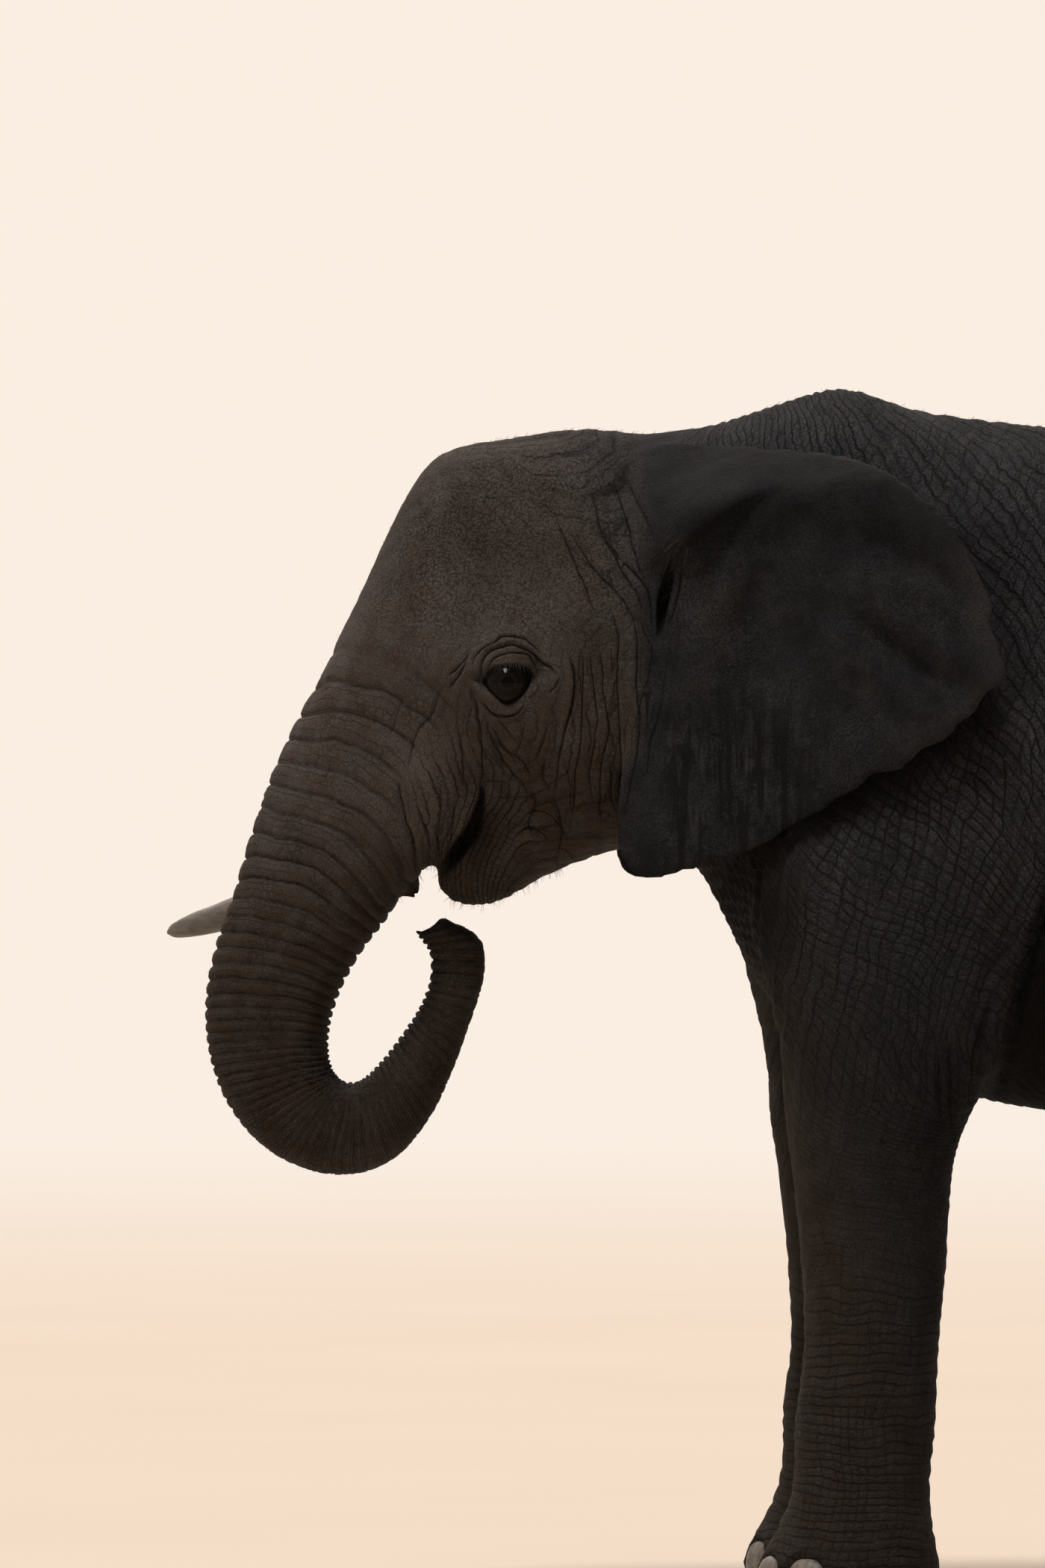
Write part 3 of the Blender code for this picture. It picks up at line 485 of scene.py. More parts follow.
def ear_depth(x, z):
    """How far the ear lies from the plane of symmetry, in the middle of its thickness."""
    height = np.abs(np.maximum(z, 1.62) - 1.70) / 0.375
    root = 0.285 * (1 - np.minimum(height, 1) ** 2.3) ** 0.45 - 0.025
    over_shelf = z - np.interp(x, *np.array(SHELF)[:, :2].T)
    along = smooth_step(x, -0.40, -0.33) * (1 - smooth_step(x, -0.22, -0.06))
    ledge = np.clip((over_shelf + 0.88 * SHELF_LEDGE) / SHELF_LEDGE, 0, 1) ** 2.4
    stand_out = 0.040 * along * ledge * (1 - 0.7 * smooth_step(over_shelf, 0.03, 0.15))
    stand_out = stand_out * (0.6 + 0.4 * smooth_step(x, -0.36, -0.27))
    return root + (ear_blade(x, z) - root) * smooth_step(x, -0.42, -0.27) + stand_out


def ear_rim(turn):
    """The ear's outline at a share of the way round it, about its middle, with its scallops and nicks."""
    rim = flow(EAR_OUTLINE, turn, closed=True) - EAR_MIDDLE
    x, z = rim.T
    nicks = sum(h * mound(x + EAR_MIDDLE[0], z + EAR_MIDDLE[1], px, pz, w, w) for px, pz, w, h in EAR_NICKS)
    scallops = 0.0035 * np.sin(turn * 150 + 2.0 * np.sin(turn * 31))
    wave = nicks + scallops * smooth_step(-z, -0.10, 0.05) * smooth_step(x, -0.24, -0.12)
    return rim * (1 + wave / np.linalg.norm(rim, axis=1))[:, None]


def ear(name, side):
    """An ear, made of a ball that is pressed flat and drawn out to its rim."""
    bm = bmesh.new()
    bmesh.ops.create_uvsphere(bm, u_segments=192, v_segments=128, radius=1)
    obj = add_object(name, bm)
    points = points_of(obj.data)
    turn = (np.arctan2(points[:, 1], points[:, 0]) / math.tau) % 1
    tilt = np.arccos(np.clip(points[:, 2], -1, 1)) / (math.pi / 2)
    reach = 1 - np.abs(tilt - 1)
    rim = ear_rim(turn)
    x = EAR_MIDDLE[0] + reach * rim[:, 0]
    z = EAR_MIDDLE[1] + reach * rim[:, 1]
    half = EAR_THICKNESS / 2 * np.sqrt(1 - reach**24) * (1 - 0.20 * reach**2)
    y = ear_depth(x, z) + np.sign(1 - tilt) * half
    place_points(obj.data, np.stack([x, side * y, z], 1))
    face_outwards(obj.data)
    return obj


# ---- Fusing -----------------------------------------------------------------------------------------------
def apply_modifiers(obj):
    graph = bpy.context.evaluated_depsgraph_get()
    mesh = bpy.data.meshes.new_from_object(obj.evaluated_get(graph))
    obj.modifiers.clear()
    obj.data = mesh
    return obj


def join(name, pieces):
    bm = bmesh.new()
    for piece in pieces:
        bm.from_mesh(piece.data)
        bpy.data.objects.remove(piece)
    return add_object(name, bm)


def voxels(obj, grain):
    remesh = obj.modifiers.new("Fuse", "REMESH")
    remesh.mode = "VOXEL"
    remesh.voxel_size = grain
    return apply_modifiers(obj)


def soften(obj, grain, reach, where=1.0):
    """Evens out the surface over the reach, as each point moves towards the middle of its neighbours."""
    mesh = obj.data
    points = points_of(mesh)
    ends = np.empty(len(mesh.edges) * 2, np.int32)
    mesh.edges.foreach_get("vertices", ends)
    a, b = ends.reshape(-1, 2).T
    here, there = np.concatenate([a, b]), np.concatenate([b, a])
    count = np.bincount(here, minlength=len(points))
    for _ in range(round((2 * reach / grain) ** 2)):
        middle = np.stack([np.bincount(here, points[there, i], len(points)) / count for i in range(3)], 1)
        points += 0.5 * np.reshape(where, (-1, 1)) * (middle - points)
    place_points(mesh, points)


def fused_flesh():
    """The body, head, trunk, legs and tail fused in one, and the ears fused to them."""
    pieces = [
        loft("torso", TORSO_RIBS, 112, 96),
        loft("head", HEAD_RIBS, 240, 80),
        loft("jaw", JAW_RIBS, 48, 48),
        loft("palate", PALATE_RIBS, 24, 32),
        loft("tail", TAIL_RIBS, 80, 20),
        pipe("sheath_right", TUSK_SHEATH),
        pipe("sheath_left", EMPTY_SHEATH),
    ]
    for name, steps in STEPS.items():
        side = -1 if name.endswith("left") else 1
        pieces.append(leg(name, FORELEG if name.startswith("front") else HIND_LEG, side, steps))
    body = voxels(join("body", pieces), BODY_GRAIN)
    soften(body, BODY_GRAIN, 0.014)
    x, _, z = points_of(body.data).T
    on_body = smooth_step(x, -0.32, -0.15) * smooth_step(z, 0.35, 0.7) * (1 - smooth_step(x, 1.66, 1.74))
    soften(body, BODY_GRAIN, JUNCTION_REACH, on_body)
    body_side[:] = flank_depths(body)
    skin = voxels(join("skin", [body, ear("ear_left", -1), ear("ear_right", 1)]), SKIN_GRAIN)
    soften(skin, SKIN_GRAIN, 0.006)
    points = points_of(skin.data)
    rim = smooth_step(ear_reach(points[:, 0], points[:, 2]), 0.80, 0.92)
    soften(skin, SKIN_GRAIN, 0.007, on_ear(points) * rim)
    return skin


# ---- Noise ------------------------------------------------------------------------------------------------
ORDER = np.random.default_rng(7).permutation(256)
SCATTER = np.random.default_rng(8).random((256, 3))
NOISE_GAIN = 1.7  # brings the noise to about 1


def scattered(cell):
    """Three fixed numbers from 0 to 1 for each whole-numbered place."""
    x, y, z = (cell.astype(int) & 255).T
    return SCATTER[ORDER[(ORDER[(ORDER[x] + y) & 255] + z) & 255]]


def noise(points):
    """Smooth noise from about -1 to 1, with a lump to each unit."""
    base = np.floor(points)
    inside = points - base
    fade = inside**3 * (inside * (inside * 6 - 15) + 10)
    total = np.zeros(len(points))
    for corner in itertools.product((0, 1), repeat=3):
        share = np.prod(np.where(corner, fade, 1 - fade), axis=1)
        total += share * np.sum((scattered(base + corner) * 2 - 1) * (inside - corner), axis=1)
    return total * NOISE_GAIN


def cells(points):
    """How far each point is from the edges of scattered cells, one to a unit."""
    base = np.floor(points)
    first = np.full(len(points), 9.0)
    second = first.copy()
    for step in itertools.product((-1, 0, 1), repeat=3):
        place = base + step
        away = np.linalg.norm(place + scattered(place) - points, axis=1)
        second = np.minimum(second, np.maximum(first, away))
        first = np.minimum(first, away)
    return second - first


# ---- Folds ------------------------------------------------------------------------------------------------
# wrinkled areas: middle X, Z; reach along X and Z; how the steep creases lie and how the flatter ones lie, in
# degrees from level; how far apart they are; how deep the steep and the flatter ones are in the flesh, and
# how strongly each kind is drawn in the skin
WRINKLES = {
    "forehead": (-0.80, 1.86, 0.22, 0.26, 66, 150, 0.022, 0.0004, 0.0004, 0.10, 0.10),
    "crown": (-0.47, 2.00, 0.22, 0.14, 76, 118, 0.020, 0.0008, 0.0022, 0.40, 0.90),
    "temple": (-0.58, 1.86, 0.14, 0.12, 66, 128, 0.020, 0.0004, 0.0010, 0.15, 0.40),
    "cheek": (-0.46, 1.55, 0.10, 0.20, 84, 160, 0.015, 0.0010, 0.0006, 0.75, 0.40),
    "jaw": (-0.55, 1.37, 0.16, 0.10, 52, 148, 0.020, 0.0018, 0.0012, 0.85, 0.55),
    "lip": (-0.75, 1.45, 0.12, 0.18, 100, 170, 0.019, 0.0014, 0.0006, 0.90, 0.45),
    "nape": (-0.20, 2.05, 0.20, 0.20, 74, 105, 0.018, 0.0010, 0.0020, 0.60, 0.95),
    "neck": (-0.05, 1.75, 0.22, 0.36, 72, 106, 0.018, 0.0018, 0.0036, 0.60, 1.00),
    "shoulder": (0.10, 1.40, 0.26, 0.26, 68, 150, 0.023, 0.0034, 0.0034, 1.00, 1.00),
    "behind the ear": (0.36, 1.72, 0.20, 0.30, 64, 106, 0.019, 0.0024, 0.0042, 0.70, 1.00),
    "chest": (-0.24, 1.15, 0.12, 0.24, 82, 128, 0.018, 0.0040, 0.0026, 1.00, 0.55),
    "side": (0.85, 1.45, 0.46, 0.42, 84, 146, 0.026, 0.0036, 0.0034, 0.85, 0.85),
    "back": (0.75, 2.08, 0.80, 0.14, 74, 114, 0.022, 0.0014, 0.0020, 0.70, 0.85),
    "belly": (0.75, 0.90, 0.55, 0.14, 88, 184, 0.025, 0.0022, 0.0034, 0.70, 0.90),
    "rump": (1.55, 1.60, 0.26, 0.45, 72, 140, 0.025, 0.0040, 0.0036, 0.90, 0.85),
    "elbow": (0.04, 1.02, 0.28, 0.16, 74, 166, 0.017, 0.0020, 0.0012, 0.75, 0.70),
    "forearm": (0.02, 0.70, 0.30, 0.16, 80, 172, 0.017, 0.0008, 0.0008, 0.40, 0.60),
    "wrist": (0.03, 0.44, 0.30, 0.10, 86, 182, 0.018, 0.0010, 0.0014, 0.60, 0.95),
    "pastern": (0.02, 0.20, 0.30, 0.12, 88, 181, 0.016, 0.0008, 0.0018, 0.60, 0.90),
    "thigh": (1.36, 1.05, 0.30, 0.28, 76, 156, 0.023, 0.0034, 0.0032, 0.90, 0.85),
    "hock": (1.36, 0.55, 0.30, 0.16, 84, 176, 0.019, 0.0016, 0.0024, 0.75, 0.95),
    "cannon": (1.36, 0.22, 0.30, 0.16, 88, 182, 0.016, 0.0008, 0.0018, 0.60, 0.90),
    "tail": (1.80, 1.30, 0.10, 0.50, 90, 180, 0.014, 0.0004, 0.0018, 0.40, 0.90),
}

# where the foreleg's rear edge stands out from the flank: X, Z
FORELEG_EDGE = [
    (0.350, 1.310), (0.340, 1.245), (0.320, 1.178), (0.297, 1.110), (0.280, 1.037), (0.266, 0.975),
    (0.258, 0.900),
]  # fmt: skip
# folds of their own, the same on both sides: half-width, depth, and X, Z places from end to end
HEAD_FOLDS = [
    # cheek and ear root
    (0.0019, 0.0042, (-0.499, 1.685), (-0.489, 1.662), (-0.486, 1.627), (-0.494, 1.576), (-0.505, 1.538),
     (-0.514, 1.500), (-0.520, 1.450), (-0.530, 1.400)),
    (0.0019, 0.0042, (-0.482, 1.695), (-0.473, 1.671), (-0.473, 1.627), (-0.474, 1.576), (-0.478, 1.507),
     (-0.485, 1.478), (-0.488, 1.415), (-0.500, 1.350)),
    (0.0020, 0.0048, (-0.461, 1.695), (-0.458, 1.658), (-0.450, 1.595), (-0.447, 1.564), (-0.455, 1.507),
     (-0.461, 1.470), (-0.450, 1.402)),
    (0.0020, 0.0048, (-0.450, 1.702), (-0.437, 1.649), (-0.437, 1.614), (-0.427, 1.557), (-0.428, 1.532),
     (-0.440, 1.485), (-0.439, 1.350)),
    (0.0022, 0.0055, (-0.430, 1.775), (-0.414, 1.728), (-0.409, 1.699), (-0.412, 1.646), (-0.407, 1.532),
     (-0.406, 1.469), (-0.410, 1.380)),
    (0.0022, 0.0055, (-0.395, 1.775), (-0.379, 1.712), (-0.379, 1.614), (-0.374, 1.576), (-0.376, 1.519),
     (-0.392, 1.437), (-0.402, 1.370)),
    (0.0019, 0.0042, (-0.376, 1.753), (-0.366, 1.722), (-0.352, 1.677), (-0.357, 1.646), (-0.371, 1.589),
     (-0.374, 1.540)),
    (0.0018, 0.0034, (-0.423, 1.690), (-0.421, 1.662), (-0.422, 1.636)),
    (0.0022, 0.0040, (-0.350, 1.625), (-0.357, 1.601), (-0.360, 1.564), (-0.363, 1.530)),
    (0.0024, 0.0045, (-0.329, 1.640), (-0.338, 1.576), (-0.347, 1.545), (-0.355, 1.519), (-0.360, 1.460)),
    (0.0018, 0.0034, (-0.503, 1.490), (-0.497, 1.459), (-0.494, 1.437), (-0.497, 1.400)),
    (0.0018, 0.0034, (-0.423, 1.500), (-0.423, 1.459), (-0.420, 1.421), (-0.410, 1.395)),
    (0.0032, 0.0070, (-0.496, 1.898), (-0.459, 1.837), (-0.404, 1.778), (-0.381, 1.732)),
    (0.0030, 0.0055, (-0.457, 1.985), (-0.441, 1.902), (-0.400, 1.819), (-0.372, 1.773), (-0.372, 1.745)),
    (0.0030, 0.0060, (-0.441, 1.902), (-0.413, 1.856), (-0.376, 1.815), (-0.358, 1.782), (-0.350, 1.700)),
    (0.0030, 0.0060, (-0.418, 1.990), (-0.395, 1.911), (-0.381, 1.847), (-0.358, 1.801)),
    (0.0026, 0.0045, (-0.522, 1.924), (-0.500, 1.872), (-0.467, 1.793), (-0.447, 1.740)),
    (0.0026, 0.0040, (-0.395, 1.990), (-0.366, 1.924), (-0.345, 1.872)),
    # front of the ear
    (0.0024, 0.0050, (-0.298, 1.832), (-0.302, 1.800), (-0.311, 1.760), (-0.322, 1.722)),
    (0.0018, 0.0026, (-0.318, 1.700), (-0.326, 1.660), (-0.334, 1.600)),
    (0.0018, 0.0024, (-0.300, 1.740), (-0.304, 1.700), (-0.313, 1.650)),
    # side of the lip
    (0.0030, 0.0070, (-0.800, 1.464), (-0.787, 1.395), (-0.770, 1.345), (-0.767, 1.273)),
    (0.0028, 0.0065, (-0.763, 1.411), (-0.745, 1.358), (-0.744, 1.306)),
    (0.0028, 0.0065, (-0.728, 1.457), (-0.721, 1.404), (-0.728, 1.371), (-0.725, 1.306)),
    (0.0026, 0.0055, (-0.698, 1.421), (-0.708, 1.338)),
    (0.0026, 0.0050, (-0.691, 1.542), (-0.684, 1.487), (-0.684, 1.450)),
    (0.0034, 0.0034, (-0.783, 1.470), (-0.774, 1.516), (-0.763, 1.546), (-0.737, 1.579), (-0.724, 1.622)),
    (0.0034, 0.0024, (-0.816, 1.529), (-0.800, 1.575), (-0.790, 1.606)),
    (0.0024, 0.0040, (-0.711, 1.641), (-0.687, 1.661), (-0.671, 1.685)),
    # under the eye
    (0.0024, 0.0040, (-0.642, 1.573), (-0.638, 1.536), (-0.616, 1.496), (-0.599, 1.474), (-0.572, 1.441),
     (-0.570, 1.428)),
    (0.0022, 0.0038, (-0.636, 1.556), (-0.612, 1.516), (-0.576, 1.487), (-0.563, 1.450)),
    (0.0020, 0.0030, (-0.646, 1.548), (-0.622, 1.520), (-0.600, 1.502), (-0.585, 1.478)),
    (0.0020, 0.0030, (-0.650, 1.520), (-0.628, 1.492), (-0.612, 1.470), (-0.588, 1.452)),
    (0.0022, 0.0034, (-0.533, 1.560), (-0.546, 1.516), (-0.559, 1.490)),
    (0.0018, 0.0026, (-0.622, 1.566), (-0.604, 1.541), (-0.590, 1.526)),
    (0.0018, 0.0026, (-0.575, 1.560), (-0.580, 1.530), (-0.592, 1.500)),
    (0.0026, 0.0045, (-0.539, 1.496), (-0.543, 1.464), (-0.526, 1.437)),
    (0.0026, 0.0045, (-0.629, 1.431), (-0.605, 1.427), (-0.570, 1.428), (-0.546, 1.417)),
    (0.0024, 0.0040, (-0.651, 1.454), (-0.625, 1.456), (-0.603, 1.453)),
    (0.0024, 0.0040, (-0.579, 1.398), (-0.550, 1.404), (-0.520, 1.387), (-0.500, 1.358)),
    (0.0024, 0.0040, (-0.592, 1.358), (-0.572, 1.374), (-0.550, 1.369), (-0.529, 1.348)),
    (0.0024, 0.0040, (-0.563, 1.450), (-0.558, 1.417), (-0.568, 1.385), (-0.558, 1.352)),
    (0.0026, 0.0045, (-0.533, 1.437), (-0.513, 1.398), (-0.511, 1.352), (-0.520, 1.319)),
    # top of the head
    (0.0100, 0.0060, (-0.790, 1.975), (-0.758, 1.935), (-0.742, 1.890), (-0.745, 1.850)),
    (0.0090, 0.0062, (-0.740, 2.030), (-0.705, 1.975), (-0.676, 1.940), (-0.655, 1.900)),
    (0.0085, 0.0062, (-0.690, 2.045), (-0.655, 1.990), (-0.628, 1.958), (-0.600, 1.930)),
    (0.0080, 0.0054, (-0.640, 2.055), (-0.606, 2.000), (-0.580, 1.972), (-0.552, 1.950)),
    (0.0070, 0.0048, (-0.590, 2.055), (-0.556, 2.000), (-0.530, 1.964), (-0.509, 1.934)),
    # rear edge of the foreleg and its elbow
    (0.0100, 0.0280, *FORELEG_EDGE),
    (0.0050, 0.0100, (0.243, 1.070), (0.220, 1.009), (0.211, 0.952), (0.206, 0.850)),
    (0.0045, 0.0080, (0.172, 1.000), (0.170, 0.940), (0.176, 0.820)),
    (0.0045, 0.0070, (0.150, 0.980), (0.151, 0.920), (0.156, 0.850)),
    # cheek meets lip
    (0.0026, 0.0046, (-0.671, 1.619), (-0.660, 1.593), (-0.656, 1.562), (-0.652, 1.516), (-0.652, 1.470),
     (-0.657, 1.440)),
]  # fmt: skip

WIDEST_DRAWN_FOLD = 0.0060  # half-width; a wider one shows by its relief and a faint shade
DEEP_FOLD = 0.0200  # a deeper one is dark, however wide it is
# folds round the eye, from its middle
LID_FOLDS = [
    (0.0018, 0.0045, (-0.034, 0.025), (-0.026, 0.042), (-0.006, 0.050), (0.017, 0.052), (0.037, 0.047),
     (0.053, 0.014)),
    (0.0026, 0.0080, (-0.046, 0.002), (-0.044, 0.040), (-0.031, 0.055), (-0.014, 0.062), (0.007, 0.067),
     (0.023, 0.061), (0.044, 0.050), (0.059, 0.035), (0.076, 0.025), (0.085, 0.008)),
    (0.0022, 0.0045, (-0.062, 0.025), (-0.059, 0.044), (-0.041, 0.061), (-0.020, 0.074), (-0.009, 0.082),
     (0.013, 0.080), (0.030, 0.077), (0.053, 0.057), (0.066, 0.042)),
    (0.0020, 0.0040, (-0.048, -0.030), (-0.039, -0.043), (-0.026, -0.055), (-0.003, -0.060), (0.017, -0.054),
     (0.032, -0.035)),
    (0.0022, 0.0040, (-0.071, 0.042), (-0.087, 0.011), (-0.106, -0.010)),
    (0.0018, 0.0024, (-0.064, -0.003), (-0.064, -0.025), (-0.056, -0.043), (-0.053, -0.068),
     (-0.049, -0.082)),
    (0.0022, 0.0055, (0.106, 0.051), (0.117, 0.011), (0.114, -0.032), (0.100, -0.089)),
    (0.0020, 0.0035, (0.094, 0.011), (0.084, -0.008), (0.071, -0.019)),
    (0.0018, 0.0030, (0.055, 0.000), (0.048, -0.018), (0.036, -0.030)),
]  # fmt: skip
# opening of the lids, from the middle of the eye
EYE_OPENING = [
    (0.040, -0.001), (0.041, 0.013), (0.036, 0.023), (0.023, 0.029), (0.008, 0.031), (-0.008, 0.030),
    (-0.024, 0.026), (-0.036, 0.018), (-0.044, 0.004), (-0.035, -0.013), (-0.022, -0.026), (-0.009, -0.036),
    (0.001, -0.038), (0.017, -0.031), (0.030, -0.019),
]  # fmt: skip
LID_THICKNESS = 0.0050
# paler skin: middle X, Z, reach along X and Z, strength
PALE_AREAS = [
    (-0.738, 1.440, 0.066, 0.110, 2.25),  # side of the lip
    (EYE[0], EYE[2] + 0.040, 0.042, 0.013, 1.3),  # upper lid
    (-0.700, 1.760, 0.100, 0.090, 0.3),  # brow
    (-0.335, 1.880, 0.045, 0.040, 0.5),  # root of the ear
    (-0.930, 1.450, 0.090, 0.120, 0.4),  # front of the trunk
    (-0.250, 1.770, 0.070, 0.070, 0.4),  # hollow of the ear
]

# clefts, the same on both sides: X, Z, half-width, depth; they go through to the layer behind
CLEFTS = {
    "mouth": [
        (-0.653, 1.455, 0.003, 0.004),
        (-0.651, 1.436, 0.005, 0.035),
        (-0.657, 1.404, 0.009, 0.060),
        (-0.671, 1.368, 0.012, 0.080),
        (-0.694, 1.336, 0.013, 0.085),
        (-0.722, 1.298, 0.012, 0.060),
    ],
    "ear canal": [
        (-0.318, 1.838, 0.005, 0.010),
        (-0.322, 1.810, 0.009, 0.036),
        (-0.330, 1.775, 0.010, 0.040),
        (-0.334, 1.740, 0.008, 0.030),
        (-0.338, 1.712, 0.004, 0.008),
    ],
}
# the trunk's rings: along the trunk by rib, the length of a ring, and how far its middle arches towards the
# forehead, as a share of the trunk's depth
RING_ROWS = [
    (8.6, 0.075, 0.30),
    (10.0, 0.062, 0.30),
    (11.0, 0.052, 0.28),
    (12.0, 0.047, 0.20),
    (13.0, 0.045, 0.13),
    (14.0, 0.039, 0.10),
    (15.0, 0.031, 0.07),
    (16.5, 0.024, 0.05),
    (18.0, 0.021, 0.03),
    (22.0, 0.022, 0.00),
    (31.0, 0.024, 0.00),
]


def fold_profile(across, width):
    """A cleft at the middle with a puffed edge on each side: the cut and the puff."""
    return ridge(across, width), ridge(np.abs(across) - 2.4 * width, 1.5 * width)


def deepen(cleft, chosen, depth):
    """Notes how far down in a cleft the chosen points are, where that is further than before; the finish
    paints shade by it.
    """
    cleft[chosen] = np.maximum(cleft[chosen], depth)


def path_places(x, z, path):
    """How far each place is from the path, signed by side, and where on the path its nearest point is."""
    at = np.linspace(0, 1, max(16, 8 * len(path)))
    line = flow(path, at)
    start, step = line[:-1, :2], np.diff(line[:, :2], axis=0)
    dx, dz = x[:, None] - start[:, 0], z[:, None] - start[:, 1]
    share = np.clip((dx * step[:, 0] + dz * step[:, 1]) / (step**2).sum(1), 0, 1)
    away = np.hypot(dx - share * step[:, 0], dz - share * step[:, 1])
    nearest = away.argmin(1)
    rows = np.arange(len(x))
    side = np.sign(dx[rows, nearest] * step[nearest, 1] - dz[rows, nearest] * step[nearest, 0])
    return away[rows, nearest] * side, at[nearest] + share[rows, nearest] * (at[1] - at[0])


def near(points, path, margin):
    """The points whose X and Z are within the margin of the path's box."""
    low, high = np.min(path, axis=0)[:2] - margin, np.max(path, axis=0)[:2] + margin
    place = points[:, [0, 2]]
    return np.flatnonzero(((place > low) & (place < high)).all(1))


def fold(points, width, depth, path):
    """One fold with tapering ends: the points near it, and for each of them the relief that it adds, how much
    the point is in its cleft, how far off it is, signed by side, and the taper."""
    chosen = near(points, path, 5 * width)
    x, z = points[chosen, 0], points[chosen, 2]
    away, at = path_places(x, z, path)
    away += noise(points[chosen] * 45) * 0.6 * width
    taper = 1 - np.abs(2 * at - 1) ** 5
    cut, puff = fold_profile(away, width)
    return chosen, depth * taper * (0.35 * puff - 0.7 * cut), taper * cut, away, taper


def ear_reach(x, z):
    """0 in the middle of the ear to 1 at its rim."""
    x, z = x - EAR_MIDDLE[0], z - EAR_MIDDLE[1]
    return np.hypot(x, z) / outline_radius(x, z, ear_rim(np.linspace(0, 1, 481)[:-1]))


def on_ear(points):
    """1 on either face of an ear, 0 on the rest."""
    x, y, z = points.T
    away = np.abs(np.abs(y) - ear_depth(x, z))
    root = x + 0.06 * (1 - smooth_step(z, 1.40, 1.54))
    inside = 1 - smooth_step(ear_reach(x, z), 1.03, 1.08)
    return inside * (1 - smooth_step(away, 0.018, 0.030)) * smooth_step(root, -0.40, -0.34)


def ring_arcs():
    """Arcs across the trunk's side that lie as its rings do: their X and Z places, by arc and by share of the
    way from the front edge to the rear edge; the count of rings from the forehead to each arc; and those
    shares."""
    ribs, lengths, arches = np.array(RING_ROWS).T
    rib = np.linspace(ribs[0], ribs[-1], 420)
    spacing, arch = np.interp(rib, ribs, lengths), np.interp(rib, ribs, arches)
    steps = steps_between(np.array(HEAD_RIBS))
    knots = np.concatenate([[0], np.cumsum(steps)]) / steps.sum()
    lines = flow(HEAD_RIBS, np.interp(rib, np.arange(len(knots)), knots))
    front, rear = lines[:, :2], lines[:, 2:4]
    count = np.concatenate([[0], np.cumsum(np.linalg.norm(np.diff(front, axis=0), axis=1) / spacing[1:])])
    across = rear - front
    towards_head = np.stack([-across[:, 1], across[:, 0]], 1)
    share = np.linspace(-0.06, 1.06, 29)
    bulge = 4 * arch[:, None] * share * (1 - share)
    arcs = front[:, None] + across[:, None] * share[:, None] + towards_head[:, None] * bulge[:, :, None]
    return arcs, count, share


def trunk_rings(points):
    """The points that may lie on the trunk, and for each of them the count of rings from the forehead, the
    share of the way from the front edge to the rear edge, and how far it is from the trunk's outline."""
    arcs, count, share = ring_arcs()
    along, width = np.gradient(arcs, axis=0), np.gradient(arcs, axis=1)
    tree = KDTree(arcs.shape[0] * arcs.shape[1])
    for i, (x, z) in enumerate(arcs.reshape(-1, 2)):
        tree.insert((x, 0, z), i)
    tree.balance()
    x, _, z = points.T
    by_jaw = (x > -0.74) & (z > 1.228) & (z < 1.30)
    chosen = np.flatnonzero((x < -0.60) & (z < 1.80) & ~by_jaw)
    place = points[chosen][:, [0, 2]]
    nearest, away = (np.array(found) for found in zip(*(tree.find((px, 0, pz))[1:] for px, pz in place)))
    i, j = np.divmod(nearest, arcs.shape[1])
    off = place - arcs[i, j]
    a, b = along[i, j], width[i, j]
    area = a[:, 0] * b[:, 1] - a[:, 1] * b[:, 0]
    down = (off[:, 0] * b[:, 1] - off[:, 1] * b[:, 0]) / area
    over = (a[:, 0] * off[:, 1] - a[:, 1] * off[:, 0]) / area
    rings = count[i] + down * np.gradient(count)[i]
    return chosen, rings, share[j] + over * (share[1] - share[0]), away


def ring_relief(points, move, cleft):
    """Adds the trunk's rings and the creases in them, and gives for each point how much it's on the trunk and
    the count of its ring."""
    chosen, rings, over, away = trunk_rings(points)
    beside_face = 1 - smooth_step(over, 0.50, 0.74) * (1 - smooth_step(rings, 3.0, 6.5))
    on_trunk = (1 - smooth_step(away, 0.010, 0.030)) * smooth_step(rings, -0.3, 2.6) * beside_face
    place = points[chosen]
    bent = rings + 0.38 * noise(place * 6) + 0.10 * noise(place * 26)
    number = np.floor(bent)
    part = bent - number
    strength = scattered(np.outer(number, (1, 0, 0)) + (0, 3, 5))[:, 0]
    lower = smooth_step(rings, 10, 15)  # where the rings get closer
    inner = smooth_step(over, 0.66, 0.97) * smooth_step(rings, 7, 11)  # its inner edge is beaded
    outer = (1 - smooth_step(over, 0.05, 0.35)) * smooth_step(rings, 22, 31)  # the bend is smooth outside

    size = 0.0050 - 0.0018 * ridge(over - 0.55, 0.35) - 0.0026 * lower
    size = size * (0.5 + 0.8 * strength) * (1 - 0.85 * outer) + 0.0024 * inner
    puff = np.sin(np.pi * part) ** 0.7 - 0.55
    depth = (0.0024 + 0.0026 * strength - 0.0012 * lower) * (1 - 0.7 * outer)
    cut = ridge(np.minimum(part, 1 - part), 0.075 + 0.075 * lower)
    fine = bent * 3 + 0.5 * noise(place * 12)
    broken = smooth_step(noise(place * 18), -0.1, 0.3)
    fine_cut = ridge(np.abs(fine - np.round(fine)), 0.16) * broken * (1 - 0.75 * lower)
    patches = np.stack([over * 9, bent * 0.8, place[:, 1] * 9], 1) + 0.25 * noise(place * 30)[:, None]
    cross_cut = ridge(cells(patches), 0.08) * smooth_step(noise(place * 9 + 5), -0.3, 0.2)
    move[chosen] += on_trunk * (size * puff - depth * cut - 0.0012 * fine_cut - 0.0018 * cross_cut)
    deepen(cleft, chosen, 0.6 * on_trunk * np.maximum(cut, 0.4 * np.maximum(fine_cut, cross_cut)))
    trunk, count = np.zeros(len(points)), np.zeros(len(points))
    trunk[chosen], count[chosen] = on_trunk, bent
    return trunk, count


